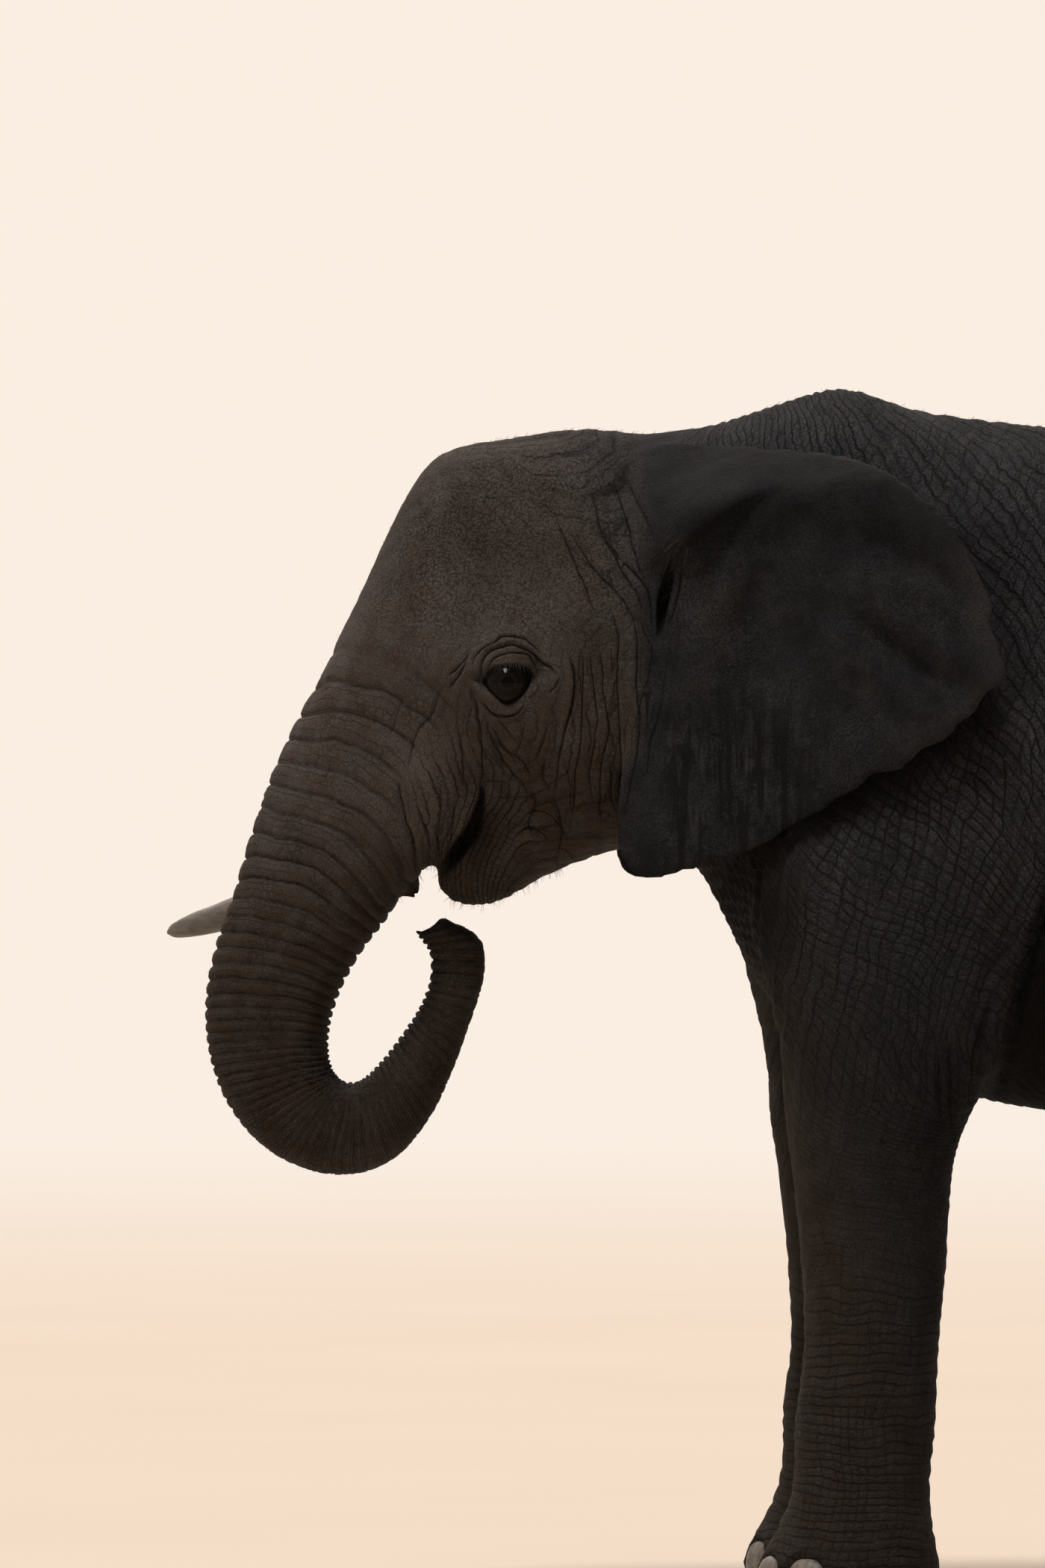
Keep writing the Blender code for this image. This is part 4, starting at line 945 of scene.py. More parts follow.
def unrolled(points):
    """X and height as they'd be with the back, belly, chest and rump laid flat beside the flank."""
    x, y, z = points.T
    out = np.abs(y)
    front = (1 - smooth_step(x, -0.30, 0.05)) * smooth_step(x, -0.60, -0.30)
    rear = smooth_step(x, 1.30, 1.60)
    over = np.tanh((z - 1.45) / 0.35) * smooth_step(z, 0.62, 0.85)
    return np.stack([x + 0.8 * (out - FLANK_WIDTH) * (front - rear), z - over * (out - FLANK_WIDTH)], 1)


def crease_field(place, shares, lies, spacings):
    """A field that grows by one from each crease to the next, where each area has its own lie and spacing.
    The areas' levels are fitted, so that the creases of neighbours meet."""
    middles = np.array([row[:2] for row in WRINKLES.values()])
    turn = np.radians(lies)
    slopes = np.stack([-np.sin(turn), np.cos(turn)], 1) / np.array(spacings)[:, None]
    sums, wanted = [], []
    for i, j in itertools.combinations(range(len(middles)), 2):
        apart = middles[j] - middles[i]
        weight = math.exp(-(apart @ apart) / 0.16)
        row = np.zeros(len(middles))
        row[j], row[i] = weight, -weight
        sums.append(row)
        wanted.append(weight * (slopes[i] + slopes[j]) @ apart / 2)
    levels = np.linalg.lstsq(np.array(sums), np.array(wanted), rcond=None)[0]
    return sum(s * (level + (place - m) @ g) for s, level, m, g in zip(shares, levels, middles, slopes))


def flesh_folds(points, field, salt):
    """Broken folds in the flesh at every other crease of a field: their cut and the swelling between them."""
    phase = field / 2
    line = np.round(phase)
    edge = np.abs(phase - line)
    where = points * (6, 9, 6)
    where[:, 1] += line * 5.3 + salt
    return ridge(edge, 0.15) * smooth_step(noise(where), -0.45, 0.30), smooth_step(edge, 0, 0.5)


def wrinkle_relief(points, skin_part, move, cleft):
    """Adds the wrinkled areas' folds, and gives the fields and strengths that draw the finer creases."""
    x, _, z = points.T
    rows = np.array(list(WRINKLES.values()))
    shares = [mound(x, z, *row) + 1e-12 for row in rows[:, :4]]
    total = sum(shares)
    shares = [s / total for s in shares]
    place = unrolled(points)
    fields, drawn = [], []
    for k in (0, 1):
        field = crease_field(place, shares, rows[:, 4 + k], rows[:, 6])
        field += (1.5 - 0.5 * k) * noise(points * 4 + 11 * k) + 0.65 * noise(points * 15 + 5 * k)
        depth, strength = (sum(s * d for s, d in zip(shares, rows[:, column + k])) for column in (7, 9))
        strength = strength * skin_part
        cut, swell = flesh_folds(points, field, 19 * k)
        move += skin_part * depth * (0.7 * swell - 0.9 * cut)
        deepen(cleft, slice(None), 0.5 * strength * cut)
        fields.append(field)
        drawn.append(strength)
    return fields, drawn


def lids(points, cleft):
    """Opens the lids round each eyeball and lifts their edges over it."""
    x, y, z = points.T
    dx, dz = x - EYE[0], z - EYE[2]
    chosen = np.flatnonzero((np.hypot(dx, dz) < 0.10) & (np.abs(y) > 0.15))
    dx, dz, depth = dx[chosen], dz[chosen], np.abs(y[chosen])
    radius = outline_radius(dx, dz, flow(EYE_OPENING, np.linspace(0, 1, 181)[:-1], closed=True))
    out = np.hypot(dx, dz)
    beyond = out - radius
    ball = EYEBALL_DEPTH + np.sqrt((EYEBALL_RADIUS**2 - out**2).clip(0))
    upper = smooth_step(dz, -0.02, 0.02)
    edge = EYEBALL_DEPTH + np.sqrt((EYEBALL_RADIUS**2 - radius**2).clip(0))
    edge += LID_THICKNESS * (1 + 0.4 * upper)
    away = (beyond / (0.026 + 0.024 * upper)).clip(0, 1)
    lid = edge + (depth - edge) * smooth_step(away, 0, 1)
    lid += 0.0045 * np.sin(np.pi * away) * (0.4 + 0.6 * upper)
    lid -= 0.0015 * (1 - smooth_step(beyond, 0, 0.003))
    behind = ball - 0.007
    points[chosen, 1] = np.sign(y[chosen]) * (behind + (lid - behind) * smooth_step(beyond, -0.0030, 0.0004))
    deepen(cleft, chosen, 0.8 * (1 - smooth_step(beyond, 0.0005, 0.0030)))


def refine(obj, wanted):
    """Splits in four the faces whose points are all wanted."""
    bm = bmesh.new()
    bm.from_mesh(obj.data)
    edges = [e for e in bm.edges if wanted[e.verts[0].index] and wanted[e.verts[1].index]]
    bmesh.ops.subdivide_edges(bm, edges=edges, cuts=1, use_grid_fill=True)
    bm.to_mesh(obj.data)
    bm.free()


def eye_distance(points):
    """How far each point is from the nearer eye."""
    return np.linalg.norm(np.abs(points) * (-1, 1, 1) - EYE, axis=1)


def swell_head(points):
    """Gives the head's sides their temples, cheekbones and brows."""
    x, y, z = points.T
    flank = np.sign(y) * smooth_step(np.abs(y), 0.10, 0.20)
    for px, pz, reach, height in HEAD_RELIEF:
        points[:, 1] += height * flank * np.exp(-((x - px) ** 2 + (z - pz) ** 2) / reach**2)


def fold_relief(points, normals, move, cleft):
    """Adds the folds of the tables, on the head's and legs' sides only, and gives how far each point is from
    the nearest of them and how strongly that fold is drawn there."""
    nearest, drawn = np.full(len(points), 0.02), np.zeros(len(points))
    facing = smooth_step(np.abs(normals[:, 1]), 0.15, 0.5) * (np.sign(points[:, 1]) == np.sign(normals[:, 1]))
    about_eye = [(*row[:2], *((EYE[0] + px, EYE[2] + pz) for px, pz in row[2:])) for row in LID_FOLDS]
    for width, depth, *path in HEAD_FOLDS + about_eye:
        chosen, moved, cut, away, taper = fold(points, width, depth, path)
        move[chosen] += moved * facing[chosen]
        narrow = width < WIDEST_DRAWN_FOLD
        deepen(cleft, chosen, (0.35 if narrow or depth > DEEP_FOLD else 0.18) * cut * facing[chosen])
        closer = np.abs(away) < np.abs(nearest[chosen])
        chosen, away, taper = chosen[closer], away[closer], taper[closer]
        nearest[chosen] = away
        strength = min(1, depth / 0.0040) * narrow
        drawn[chosen] = strength * taper * facing[chosen] * (1 - smooth_step(np.abs(away), 0.0035, 0.0070))
    return nearest, drawn


def open_clefts(points, cleft):
    """Presses in the line of the mouth and the canal of each ear."""
    for rows in CLEFTS.values():
        touched = near(points, rows, 0.06)
        touched = touched[np.abs(points[touched, 1]) > 0.03]
        away, at = path_places(points[touched, 0], points[touched, 2], rows)
        line = flow(rows, at)
        cut = 1 - smooth_step(np.abs(away) / line[:, 2], 0.55, 1.35)
        inwards = line[:, 3] * cut * smooth_step(np.abs(points[touched, 1]), 0.04, 0.10)
        points[touched, 1] -= np.sign(points[touched, 1]) * inwards
        deepen(cleft, touched, cut * smooth_step(line[:, 3], 0, 0.02))


def hollow_shelf(points, ears):
    """Hollows the outer face of each ear under the roll of its top."""
    touched = near(points, SHELF, 0.20)
    x, y, z = points[touched].T
    touched = touched[(ears[touched] > 0.3) & (np.abs(y) > ear_depth(x, z) - 0.004)]
    away, at = path_places(points[touched, 0], points[touched, 2], SHELF)
    line = flow(SHELF, at)
    ends = 1 - np.abs(2 * at - 1) ** 6
    hollow = smooth_step(away, 0.0, 0.010) * np.exp(-((away.clip(0) / line[:, 2]) ** 1.5))
    roll = smooth_step(away, -0.045, -0.008) * (1 - smooth_step(away, -0.003, 0.005))
    points[touched, 1] += np.sign(points[touched, 1]) * ends * line[:, 3] * (0.5 * roll - hollow)


def shape_trunk_tip(points, cleft):
    """Two nostrils and the finger above and below them."""
    front, rear = np.array(HEAD_RIBS[-1][:2]), np.array(HEAD_RIBS[-1][2:4])
    middle, down = (front + rear) / 2, (rear - front) / np.linalg.norm(rear - front)
    out = np.array([down[1], -down[0]])
    half = np.linalg.norm(rear - front) / 2
    chosen = np.flatnonzero(np.linalg.norm(points - (middle[0], 0, middle[1]), axis=1) < 0.09)
    flat, side = points[chosen][:, [0, 2]] - middle, points[chosen, 1]
    along = flat @ down / half
    end = smooth_step(flat @ out, -0.020, -0.004)
    nostril = mound(np.abs(side), along, 0.0155, -0.10, 0.0085, 0.40)
    upper = mound(along, side, -0.80, 0, 0.36, 0.018)
    lower = mound(along, side, 0.80, 0, 0.34, 0.028)
    push = end * (0.008 * upper + 0.006 * lower - 0.022 * nostril)
    points[chosen, 0] += out[0] * push
    points[chosen, 2] += out[1] * push
    deepen(cleft, chosen, end * nostril)


def nail_places():
    """Each nail's node, middle and the way it faces."""
    for leg_name, steps in STEPS.items():
        fore = leg_name.startswith("front")
        side = -1 if leg_name.endswith("left") else 1
        _, front, rear, width, middle = next(row for row in (FORELEG if fore else HIND_LEG) if row[0] < 0.1)
        for number, degrees in enumerate(FORE_NAILS if fore else HIND_NAILS, 1):
            angle = math.radians(degrees)
            out = Vector((-math.cos(angle), math.sin(angle), 0))
            x = (front + rear) / 2 + steps[1] + out.x * ((rear - front) / 2 - NAIL_SUNK)
            y = side * middle + out.y * (width - NAIL_SUNK)
            yield f"nail_{leg_name}_{number}", Vector((x, y, NAIL_HEIGHT)), out


def seat_nails(points, cleft):
    """Presses a groove round each nail and raises a cuticle over it."""
    for _, middle, out in nail_places():
        chosen = np.flatnonzero(np.linalg.norm(points - middle, axis=1) < 0.085)
        away = points[chosen] - middle
        across = away @ np.array((-out.y, out.x, 0))
        ring = np.hypot(across / NAIL_SIZE[1], away[:, 2] / NAIL_SIZE[2])
        groove = ridge(ring - 1.0, 0.14)
        cuticle = ridge(ring - 1.32, 0.16) * smooth_step(away[:, 2], -0.03, 0.0)
        points[chosen] += np.outer(0.0045 * cuticle - 0.0040 * groove, out)
        deepen(cleft, chosen, 0.7 * groove)


def store(mesh, name, *columns):
    """Keeps three values at each of the mesh's points, for its finish to read."""
    attribute = mesh.attributes.new(name, "FLOAT_VECTOR", "POINT")
    attribute.data.foreach_set("vector", np.stack(columns, 1).astype(np.float32).ravel())


def smooth_all(obj):
    for f in obj.data.polygons:
        f.use_smooth = True
    return obj


def thin(obj, triangles, importance):
    """Merges the smallest details, the least important first, until the triangles are as many as asked."""
    group = obj.vertex_groups.new(name="kept")
    for level in np.unique(importance):
        if level > 0:
            group.add(np.flatnonzero(importance == level).tolist(), float(level), "REPLACE")
    modifier = obj.modifiers.new("Thin", "DECIMATE")
    modifier.ratio = triangles / sum(len(f.vertices) - 2 for f in obj.data.polygons)
    modifier.use_collapse_triangulate = True
    modifier.vertex_group = group.name
    modifier.invert_vertex_group = True
    modifier.vertex_group_factor = 0.00002
    apply_modifiers(obj)
    obj.vertex_groups.clear()
    smooth_all(obj)


def refined_flesh():
    """The fused flesh, with a finer mesh on the head and the ears' roots, and the finest round the eyes."""
    skin = fused_flesh()
    points = points_of(skin.data)
    x, _, z = points.T
    ears = on_ear(points)
    head = (x < -0.34) & (ears < 0.5)
    ear_root = (ears > 0.5) & (x < -0.12) & (z > 1.70) & (z < 1.98)
    refine(skin, head | ear_root)
    soften(skin, SKIN_GRAIN, 0.004)
    refine(skin, eye_distance(points_of(skin.data)) < 0.15)
    return skin


def shade(x, z, facing_down, ears, trunk):
    """How dark the skin is painted where little light reaches it."""
    belly = 0.48 * (1 - smooth_step(z, 0.85, 1.60)) * smooth_step(x, -0.5, -0.2)
    by_ear = (1 - ears) * smooth_step(x, -0.24, -0.10) * (1 - smooth_step(ear_reach(x, z), 1.02, 1.26))
    by_ear = by_ear * (0.30 + 0.62 * (1 - smooth_step(z, 1.40, 1.75))) * (1 - smooth_step(z, 1.84, 1.96))
    ear_top = 0.46 * ears * smooth_step(z, 1.80, 1.90)
    mouth = 0.70 * (1 - trunk) * mound(x + 0.650 - 0.30 * (z - 1.36), z, 0, 1.36, 0.024, 0.065)
    chest = (1 - ears) * mound(x, z, -0.20, 1.22, 0.14, 0.20)
    trunk_bend = 0.31 * trunk * (1 - smooth_step(z, 0.95, 1.55))
    behind_leg = x - np.interp(z, *np.array(FORELEG_EDGE)[::-1, ::-1].T)
    behind_leg = smooth_step(behind_leg, -0.004, 0.010) * (1 - smooth_step(behind_leg, 0.08, 0.30))
    behind_leg = 0.92 * behind_leg * (1 - smooth_step(z, 1.22, 1.42)) * smooth_step(z, 0.60, 0.80)
    underside = 0.28 * smooth_step(facing_down, 0.2, 0.8)
    return np.maximum.reduce([belly, by_ear, ear_top, mouth, chest, trunk_bend, behind_leg, underside])


def painted_ear_rim_light(x, z, ears):
    """How much painted rim highlight the ear gets towards its rear edge, and on the thin rim itself."""
    reach = ear_reach(x, z)
    broad = 0.8 * smooth_step(reach, 0.80, 0.99) * smooth_step(x, 0.02, 0.16)
    rim = 1.1 * smooth_step(reach, 0.972, 0.996) * smooth_step(x, -0.10, 0.10)
    return ears * (broad + rim)


def carved_skin():
    """The whole skin, carved and thinned, with what its finish reads kept at its points."""
    skin = refined_flesh()
    points = points_of(skin.data)
    move, cleft = np.zeros(len(points)), np.zeros(len(points))
    swell_head(points)
    lids(points, cleft)
    place_points(skin.data, points)
    normals = normals_of(skin.data)
    ears = on_ear(points)
    trunk, rings = ring_relief(points, move, cleft)
    round_opening = smooth_step(np.hypot(points[:, 0] - EYE[0], points[:, 2] - EYE[2]), 0.045, 0.075)
    fields, drawn = wrinkle_relief(points, (1 - trunk) * (1 - ears) * round_opening, move, cleft)
    nearest, fold_drawn = fold_relief(points, normals, move, cleft)
    veins = np.abs(noise(points * (60, 60, 14)))
    move += ears * (0.0030 * noise(points * 8) + 0.0014 * noise(points * 26) - 0.0012 * veins)
    points += normals * move[:, None]
    hollow_shelf(points, ears)
    open_clefts(points, cleft)
    shape_trunk_tip(points, cleft)
    seat_nails(points, cleft)
    points[:, 2] = points[:, 2].clip(0)
    place_points(skin.data, points)

    x, _, z = points.T
    cool = np.maximum(ears, 0.9 * smooth_step(x + 0.35 * (z - 1.6), -0.42, -0.10))
    streaks = ears * (1 - smooth_step(z, 1.52, 1.66)) * smooth_step(x, -0.36, -0.30)
    streaks = streaks * (1 - smooth_step(x, -0.12, -0.02))
    pale = sum(strength * mound(x, z, *place) for *place, strength in PALE_AREAS)
    # cleft sets the painted shade in creases, clefts, nostrils and grooves
    store(skin.data, "areas", cleft, ears, trunk)
    store(skin.data, "lines", *fields, rings)
    store(skin.data, "drawn", *drawn, pale)
    store(skin.data, "tints", cool, shade(x, z, -normals[:, 2], ears, trunk), streaks)
    # the third column of folds is the painted rim highlight of the ears
    store(skin.data, "folds", nearest * 1000, fold_drawn, painted_ear_rim_light(x, z, ears))
    thin(skin, SKIN_TRIANGLES, np.where(eye_distance(points) < 0.085, 1.0, np.where(x < -0.32, 0.6, 0.0)))
    return skin


# ---- Eyes, tusk and nails ---------------------------------------------------------------------------------
def eyeball(name, side):
    bm = bmesh.new()
    bmesh.ops.create_uvsphere(bm, u_segments=64, v_segments=48, radius=EYEBALL_RADIUS)
    bmesh.ops.rotate(bm, cent=(0, 0, 0), matrix=Matrix.Rotation(math.pi / 2, 3, "X"), verts=bm.verts)
    for v in bm.verts:
        from_pole = math.hypot(v.co.x, v.co.z) / CORNEA_REACH
        if from_pole < 1 and v.co.y * side > 0:
            v.co *= 1 + CORNEA_RISE * (1 - from_pole**2) ** 2
    bmesh.ops.translate(bm, vec=(EYE[0], side * EYEBALL_DEPTH, EYE[2]), verts=bm.verts)
    return smooth_all(add_object(name, bm))


def tusk():
    obj = smooth_all(pipe("tusk", TUSK, 96, 48))
    points = points_of(obj.data)
    normals = normals_of(obj.data)
    grain = noise(points * (16, 60, 60)) * 0.0008 + noise(points * (40, 140, 140)) * 0.0003
    place_points(obj.data, points + normals * (grain - 0.0004)[:, None])
    return obj


def nail(name, middle, out):
    bm = bmesh.new()
    bmesh.ops.create_uvsphere(bm, u_segments=40, v_segments=28, radius=1)
    for v in bm.verts:
        v.co = Vector(math.copysign(abs(c) ** 0.86, c) for c in v.co)
        v.co.x *= 1 - 0.16 * v.co.z
    size = (NAIL_SIZE[0] + 0.002, NAIL_SIZE[1] - 0.003, NAIL_SIZE[2] - 0.003)
    bmesh.ops.scale(bm, vec=size, verts=bm.verts)
    turn = Matrix.Rotation(math.atan2(out.y, out.x), 3, "Z")
    bmesh.ops.rotate(bm, cent=(0, 0, 0), matrix=turn, verts=bm.verts)
    bmesh.ops.translate(bm, vec=middle - out * 0.001, verts=bm.verts)
    for v in bm.verts:
        v.co.z = max(v.co.z, NAIL_FLOOR)
    return smooth_all(add_object(name, bm))


# ---- Hair -------------------------------------------------------------------------------------------------
def unwrap(skin):
    """An unwrap of the skin's own shape, from a coarse copy: the copy's tree, corners and corner places."""
    copy = skin.copy()
    copy.data = skin.data.copy()
    bpy.context.scene.collection.objects.link(copy)
    thin(copy, UNWRAP_TRIANGLES, np.zeros(len(copy.data.vertices)))
    bpy.context.view_layer.objects.active = copy
    copy.select_set(True)
    bpy.ops.object.mode_set(mode="EDIT")
    bpy.ops.mesh.select_all(action="SELECT")
    bpy.ops.uv.smart_project(angle_limit=1.15, island_margin=0.002)
    bpy.ops.object.mode_set(mode="OBJECT")
    mesh = copy.data
    faces = [tuple(f.vertices) for f in mesh.polygons]
    tree = BVHTree.FromPolygons([v.co.copy() for v in mesh.vertices], faces)
    layer = mesh.uv_layers.active.data
    corners = [[mesh.vertices[i].co.copy() for i in f.vertices] for f in mesh.polygons]
    places = [[Vector((*layer[i].uv, 0)) for i in f.loop_indices] for f in mesh.polygons]
    bpy.data.objects.remove(copy)
    return tree, corners, places


def unwrapped(root, unwrapping):
    """Where a place on the skin lies in its unwrap."""
    tree, corners, places = unwrapping
    place, _, face, _ = tree.find_nearest(root)
    return barycentric_transform(place, *corners[face], *places[face])[:2]


def scattered_roots(skin, weight, count, seed):
    """Places on the skin and the way it faces there, denser where the weight is higher."""
    mesh = skin.data
    mesh.calc_loop_triangles()
    corners = np.array([t.vertices for t in mesh.loop_triangles])
    triangles = points_of(mesh)[corners]
    faces = np.cross(triangles[:, 1] - triangles[:, 0], triangles[:, 2] - triangles[:, 0])
    area = np.linalg.norm(faces, axis=1) + 1e-12
    faces /= area[:, None]
    chance = area * weight(triangles.mean(1), faces)
    random = np.random.default_rng(seed)
    chosen = random.choice(len(chance), count, p=chance / chance.sum())
    a, b = random.random((2, count, 1))
    a, b = np.where(a + b > 1, 1 - a, a), np.where(a + b > 1, 1 - b, b)
    corner = triangles[chosen]
    roots = corner[:, 0] + a * (corner[:, 1] - corner[:, 0]) + b * (corner[:, 2] - corner[:, 0])
    return roots, faces[chosen], random


def hairs(name, roots, ways, lengths, thickness, droop, unwrapping):
    """Thin tapering hairs that start along their ways and droop towards their tips."""
    obj, t, angle = tube(name, 4, 3)
    one, count = len(t), len(roots)
    modifier = obj.modifiers.new("Repeat", "ARRAY")
    modifier.count = count
    modifier.use_relative_offset = False
    modifier.use_constant_offset = True
    modifier.constant_offset_displace = (0, 0, 0)
    apply_modifiers(obj)
    ways = ways / np.linalg.norm(ways, axis=1)[:, None]
    across = np.cross(ways, (0.31, 0.90, 0.30))
    across /= np.linalg.norm(across, axis=1)[:, None]
    up = np.cross(across, ways)
    lengths, thickness = np.broadcast_to(lengths, count), np.broadcast_to(thickness, count)
    stem = roots[:, None] + ways[:, None] * (lengths[:, None] * t * (1 - 0.25 * droop * t))[:, :, None]
    stem[:, :, 2] -= droop * lengths[:, None] * t**2 * 0.6
    ring = across[:, None] * np.cos(angle)[:, None] + up[:, None] * np.sin(angle)[:, None]
    width = thickness[:, None] / 2 * (1 - 0.85 * t**1.5)
    place_points(obj.data, (stem + ring * width[:, :, None]).reshape(-1, 3))
    face_outwards(obj.data)
    root_places = np.array([unwrapped(Vector(root), unwrapping) for root in roots])
    layer = obj.data.uv_layers.new(name="OFBake")
    corner = np.empty(len(obj.data.loops), np.int32)
    obj.data.loops.foreach_get("vertex_index", corner)
    hair, point = np.divmod(corner, one)
    patch = np.stack([angle[point] / math.tau, t[point] - 0.5], 1) * HAIR_PATCH
    layer.data.foreach_set("uv", (root_places[hair] + patch).astype(np.float32).ravel())
    return smooth_all(obj)


def box_share(points, low, high, soft=0.02):
    """1 inside a box of X, |Y|, Z and 0 outside it."""
    place = np.abs(points) * (0, 1, 0) + points * (1, 0, 1)
    inner = smooth_step(place, np.array(low) - soft, np.array(low) + soft)
    return np.prod(inner * (1 - smooth_step(place, np.array(high) - soft, np.array(high) + soft)), axis=1)


def on_top(points, faces):
    on_back = smooth_step(faces[:, 2], 0.15, 0.6) * smooth_step(points[:, 2], 1.7, 1.9)
    return on_back * (1 - on_ear(points))


def on_front(points, faces):
    return box_share(points, (-1.20, -0.1, 0.70), (-0.60, 0.30, 2.10)) * smooth_step(-faces[:, 0], -0.1, 0.5)


def on_chin(points, faces):
    low_jaw = box_share(points, (-0.76, -0.1, 1.20), (-0.50, 0.16, 1.40))
    low_jaw = low_jaw * smooth_step(-faces[:, 2], -0.3, 0.5)
    lip = box_share(points, (-0.80, -0.1, 1.24), (-0.70, 0.20, 1.36))
    return low_jaw + 0.5 * lip


def in_ear(points, faces):
    shelf = box_share(points, (-0.350, 0.24, 1.830), (-0.270, 0.50, 1.880), 0.008)
    canal = box_share(points, (-0.345, 0.20, 1.740), (-0.305, 0.50, 1.835), 0.008)
    return (shelf + 0.4 * canal) * smooth_step(np.abs(faces[:, 1]), 0.1, 0.5)


def on_tail(points, faces):
    return box_share(points, (1.76, -0.1, 0.60), (1.90, 0.06, 0.88), 0.03)


# bristles: where they grow, how many, seed, shortest and longest, thickness, which way they lie, droop
BRISTLES = [
    (on_top, 3000, 1, 0.005, 0.014, 0.0007, (1.2, 0, 0), 0.1),
    (on_front, 700, 2, 0.004, 0.009, 0.0006, (0, 0, -1.0), 0.1),
    (on_chin, 420, 3, 0.006, 0.020, 0.0007, (-0.2, 0, -0.6), 0.3),
    (in_ear, 520, 4, 0.015, 0.036, 0.0007, (-0.9, 0, -0.5), 0.5),
]


def bristles(skin, unwrapping):
    grown = []
    for weight, count, seed, low, high, thickness, lie, droop in BRISTLES:
        roots, faces, random = scattered_roots(skin, weight, count, seed)
        ways = faces + lie + random.normal(0, 0.35, roots.shape)
        lengths = random.uniform(low, high, count)
        grown.append((roots - faces * 0.001, ways, lengths, np.full(count, thickness), np.full(count, droop)))
    roots, ways, lengths, thickness, droop = (np.concatenate(parts) for parts in zip(*grown))
    return hairs("bristles", roots, ways, lengths, thickness, droop[:, None], unwrapping)


def lashes(unwrapping):
    """Lashes along the upper lids."""
    random = np.random.default_rng(5)
    rim = flow(EYE_OPENING, np.linspace(0.03, 0.55, 90), closed=True)
    roots, ways = [], []
    for side in (-1, 1):
        for px, pz in rim:
            ball = EYEBALL_DEPTH + math.sqrt(max(0, EYEBALL_RADIUS**2 - px**2 - pz**2))
            roots.append((EYE[0] + px, side * (ball + 0.004), EYE[2] + pz + 0.001))
            ways.append((px * 9, side * 1.0, 0.10 - 0.5 * random.random()))
    ways = np.array(ways) + random.normal(0, 0.12, (len(ways), 3))
    lengths = random.uniform(0.012, 0.030, len(ways))
    return hairs("lashes", np.array(roots), ways, lengths, 0.0008, 0.9, unwrapping)


def tail_hair(skin, unwrapping):
    """The tail's tuft, down to where it ends on the frame."""
    roots, faces, random = scattered_roots(skin, on_tail, 620, 6)
    ways = faces * (0.12, 0.25, 0) + (0, 0, -1) + random.normal(0, 0.035, roots.shape)
    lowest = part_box("tail_tuft")[0][2]
    lengths = random.uniform(0.45, 0.95, len(roots)) * (roots[:, 2] - lowest)
    return hairs("tail_hair", roots - faces * 0.002, ways, lengths, 0.0022, 0.15, unwrapping)


def all_hairs(skin):
    unwrapping = unwrap(skin)
    return [bristles(skin, unwrapping), lashes(unwrapping), tail_hair(skin, unwrapping)]


# ---- Finishes ---------------------------------------------------------------------------------------------
TINTS = {
    # hide
    "warm dark": (0.046, 0.036, 0.030),
    "warm light": (0.074, 0.062, 0.055),
    "rust": (0.056, 0.036, 0.026),
    "brown": (0.050, 0.033, 0.022),
    "cold dark": (0.033, 0.037, 0.044),
    "cold light": (0.054, 0.060, 0.070),
    "ear": (0.014, 0.0145, 0.016),
    "pale skin": (0.140, 0.122, 0.110),
    "dust": (0.105, 0.101, 0.098),
    # pebble tops: worn paler skin, and partly a painted highlight
    "grain": (0.140, 0.134, 0.130),
    # painted shade in the hollows between the pebbles
    "painted shade between grains": (0.014, 0.011, 0.009),
    "fleck": (0.210, 0.198, 0.185),
    # painted highlight on the ears' rear edges and thin rims
    "painted ear rim light": (0.095, 0.088, 0.084),
    "shade": (0.0022, 0.0016, 0.0014),
    "cool shade": (0.0026, 0.0031, 0.0043),
    # painted shade along the creases, between the pads
    "painted shade between pads": (0.007, 0.006, 0.006),
    "dry run": (0.060, 0.060, 0.056),
    "wet run": (0.0035, 0.0035, 0.0036),
    # painted shade in creases, folds, cracks and clefts
    "crease": (0.008, 0.006, 0.005),
    # eye
    "iris dark": (0.007, 0.0045, 0.003),
    "iris light": (0.016, 0.010, 0.007),
    "iris edge": (0.006, 0.004, 0.003),
    "white dark": (0.006, 0.0042, 0.0034),
    "white light": (0.010, 0.007, 0.0055),
    "pupil": (0.0030, 0.0025, 0.0022),
    "painted lid shadow": (0.002, 0.0015, 0.0013),
    # ivory, horn and hair
    "ivory dark": (0.088, 0.072, 0.056),
    "ivory light": (0.155, 0.134, 0.110),
    "ivory stain": (0.050, 0.035, 0.025),
    "ivory crack": (0.07, 0.045, 0.03),
    "horn dark": (0.105, 0.086, 0.070),
    "horn light": (0.190, 0.165, 0.140),
    "mud": (0.055, 0.044, 0.036),
    "hair dark": (0.012, 0.010, 0.009),
    "hair light": (0.060, 0.050, 0.042),
    # floor and surround
    "surround dim": (0.80, 0.76, 0.74),
    "surround bright": (1.0, 0.89, 0.79),
    "floor dark": (0.60, 0.52, 0.44),
    "floor light": (0.64, 0.56, 0.48),
    "nothing": (0.0, 0.0, 0.0),
}


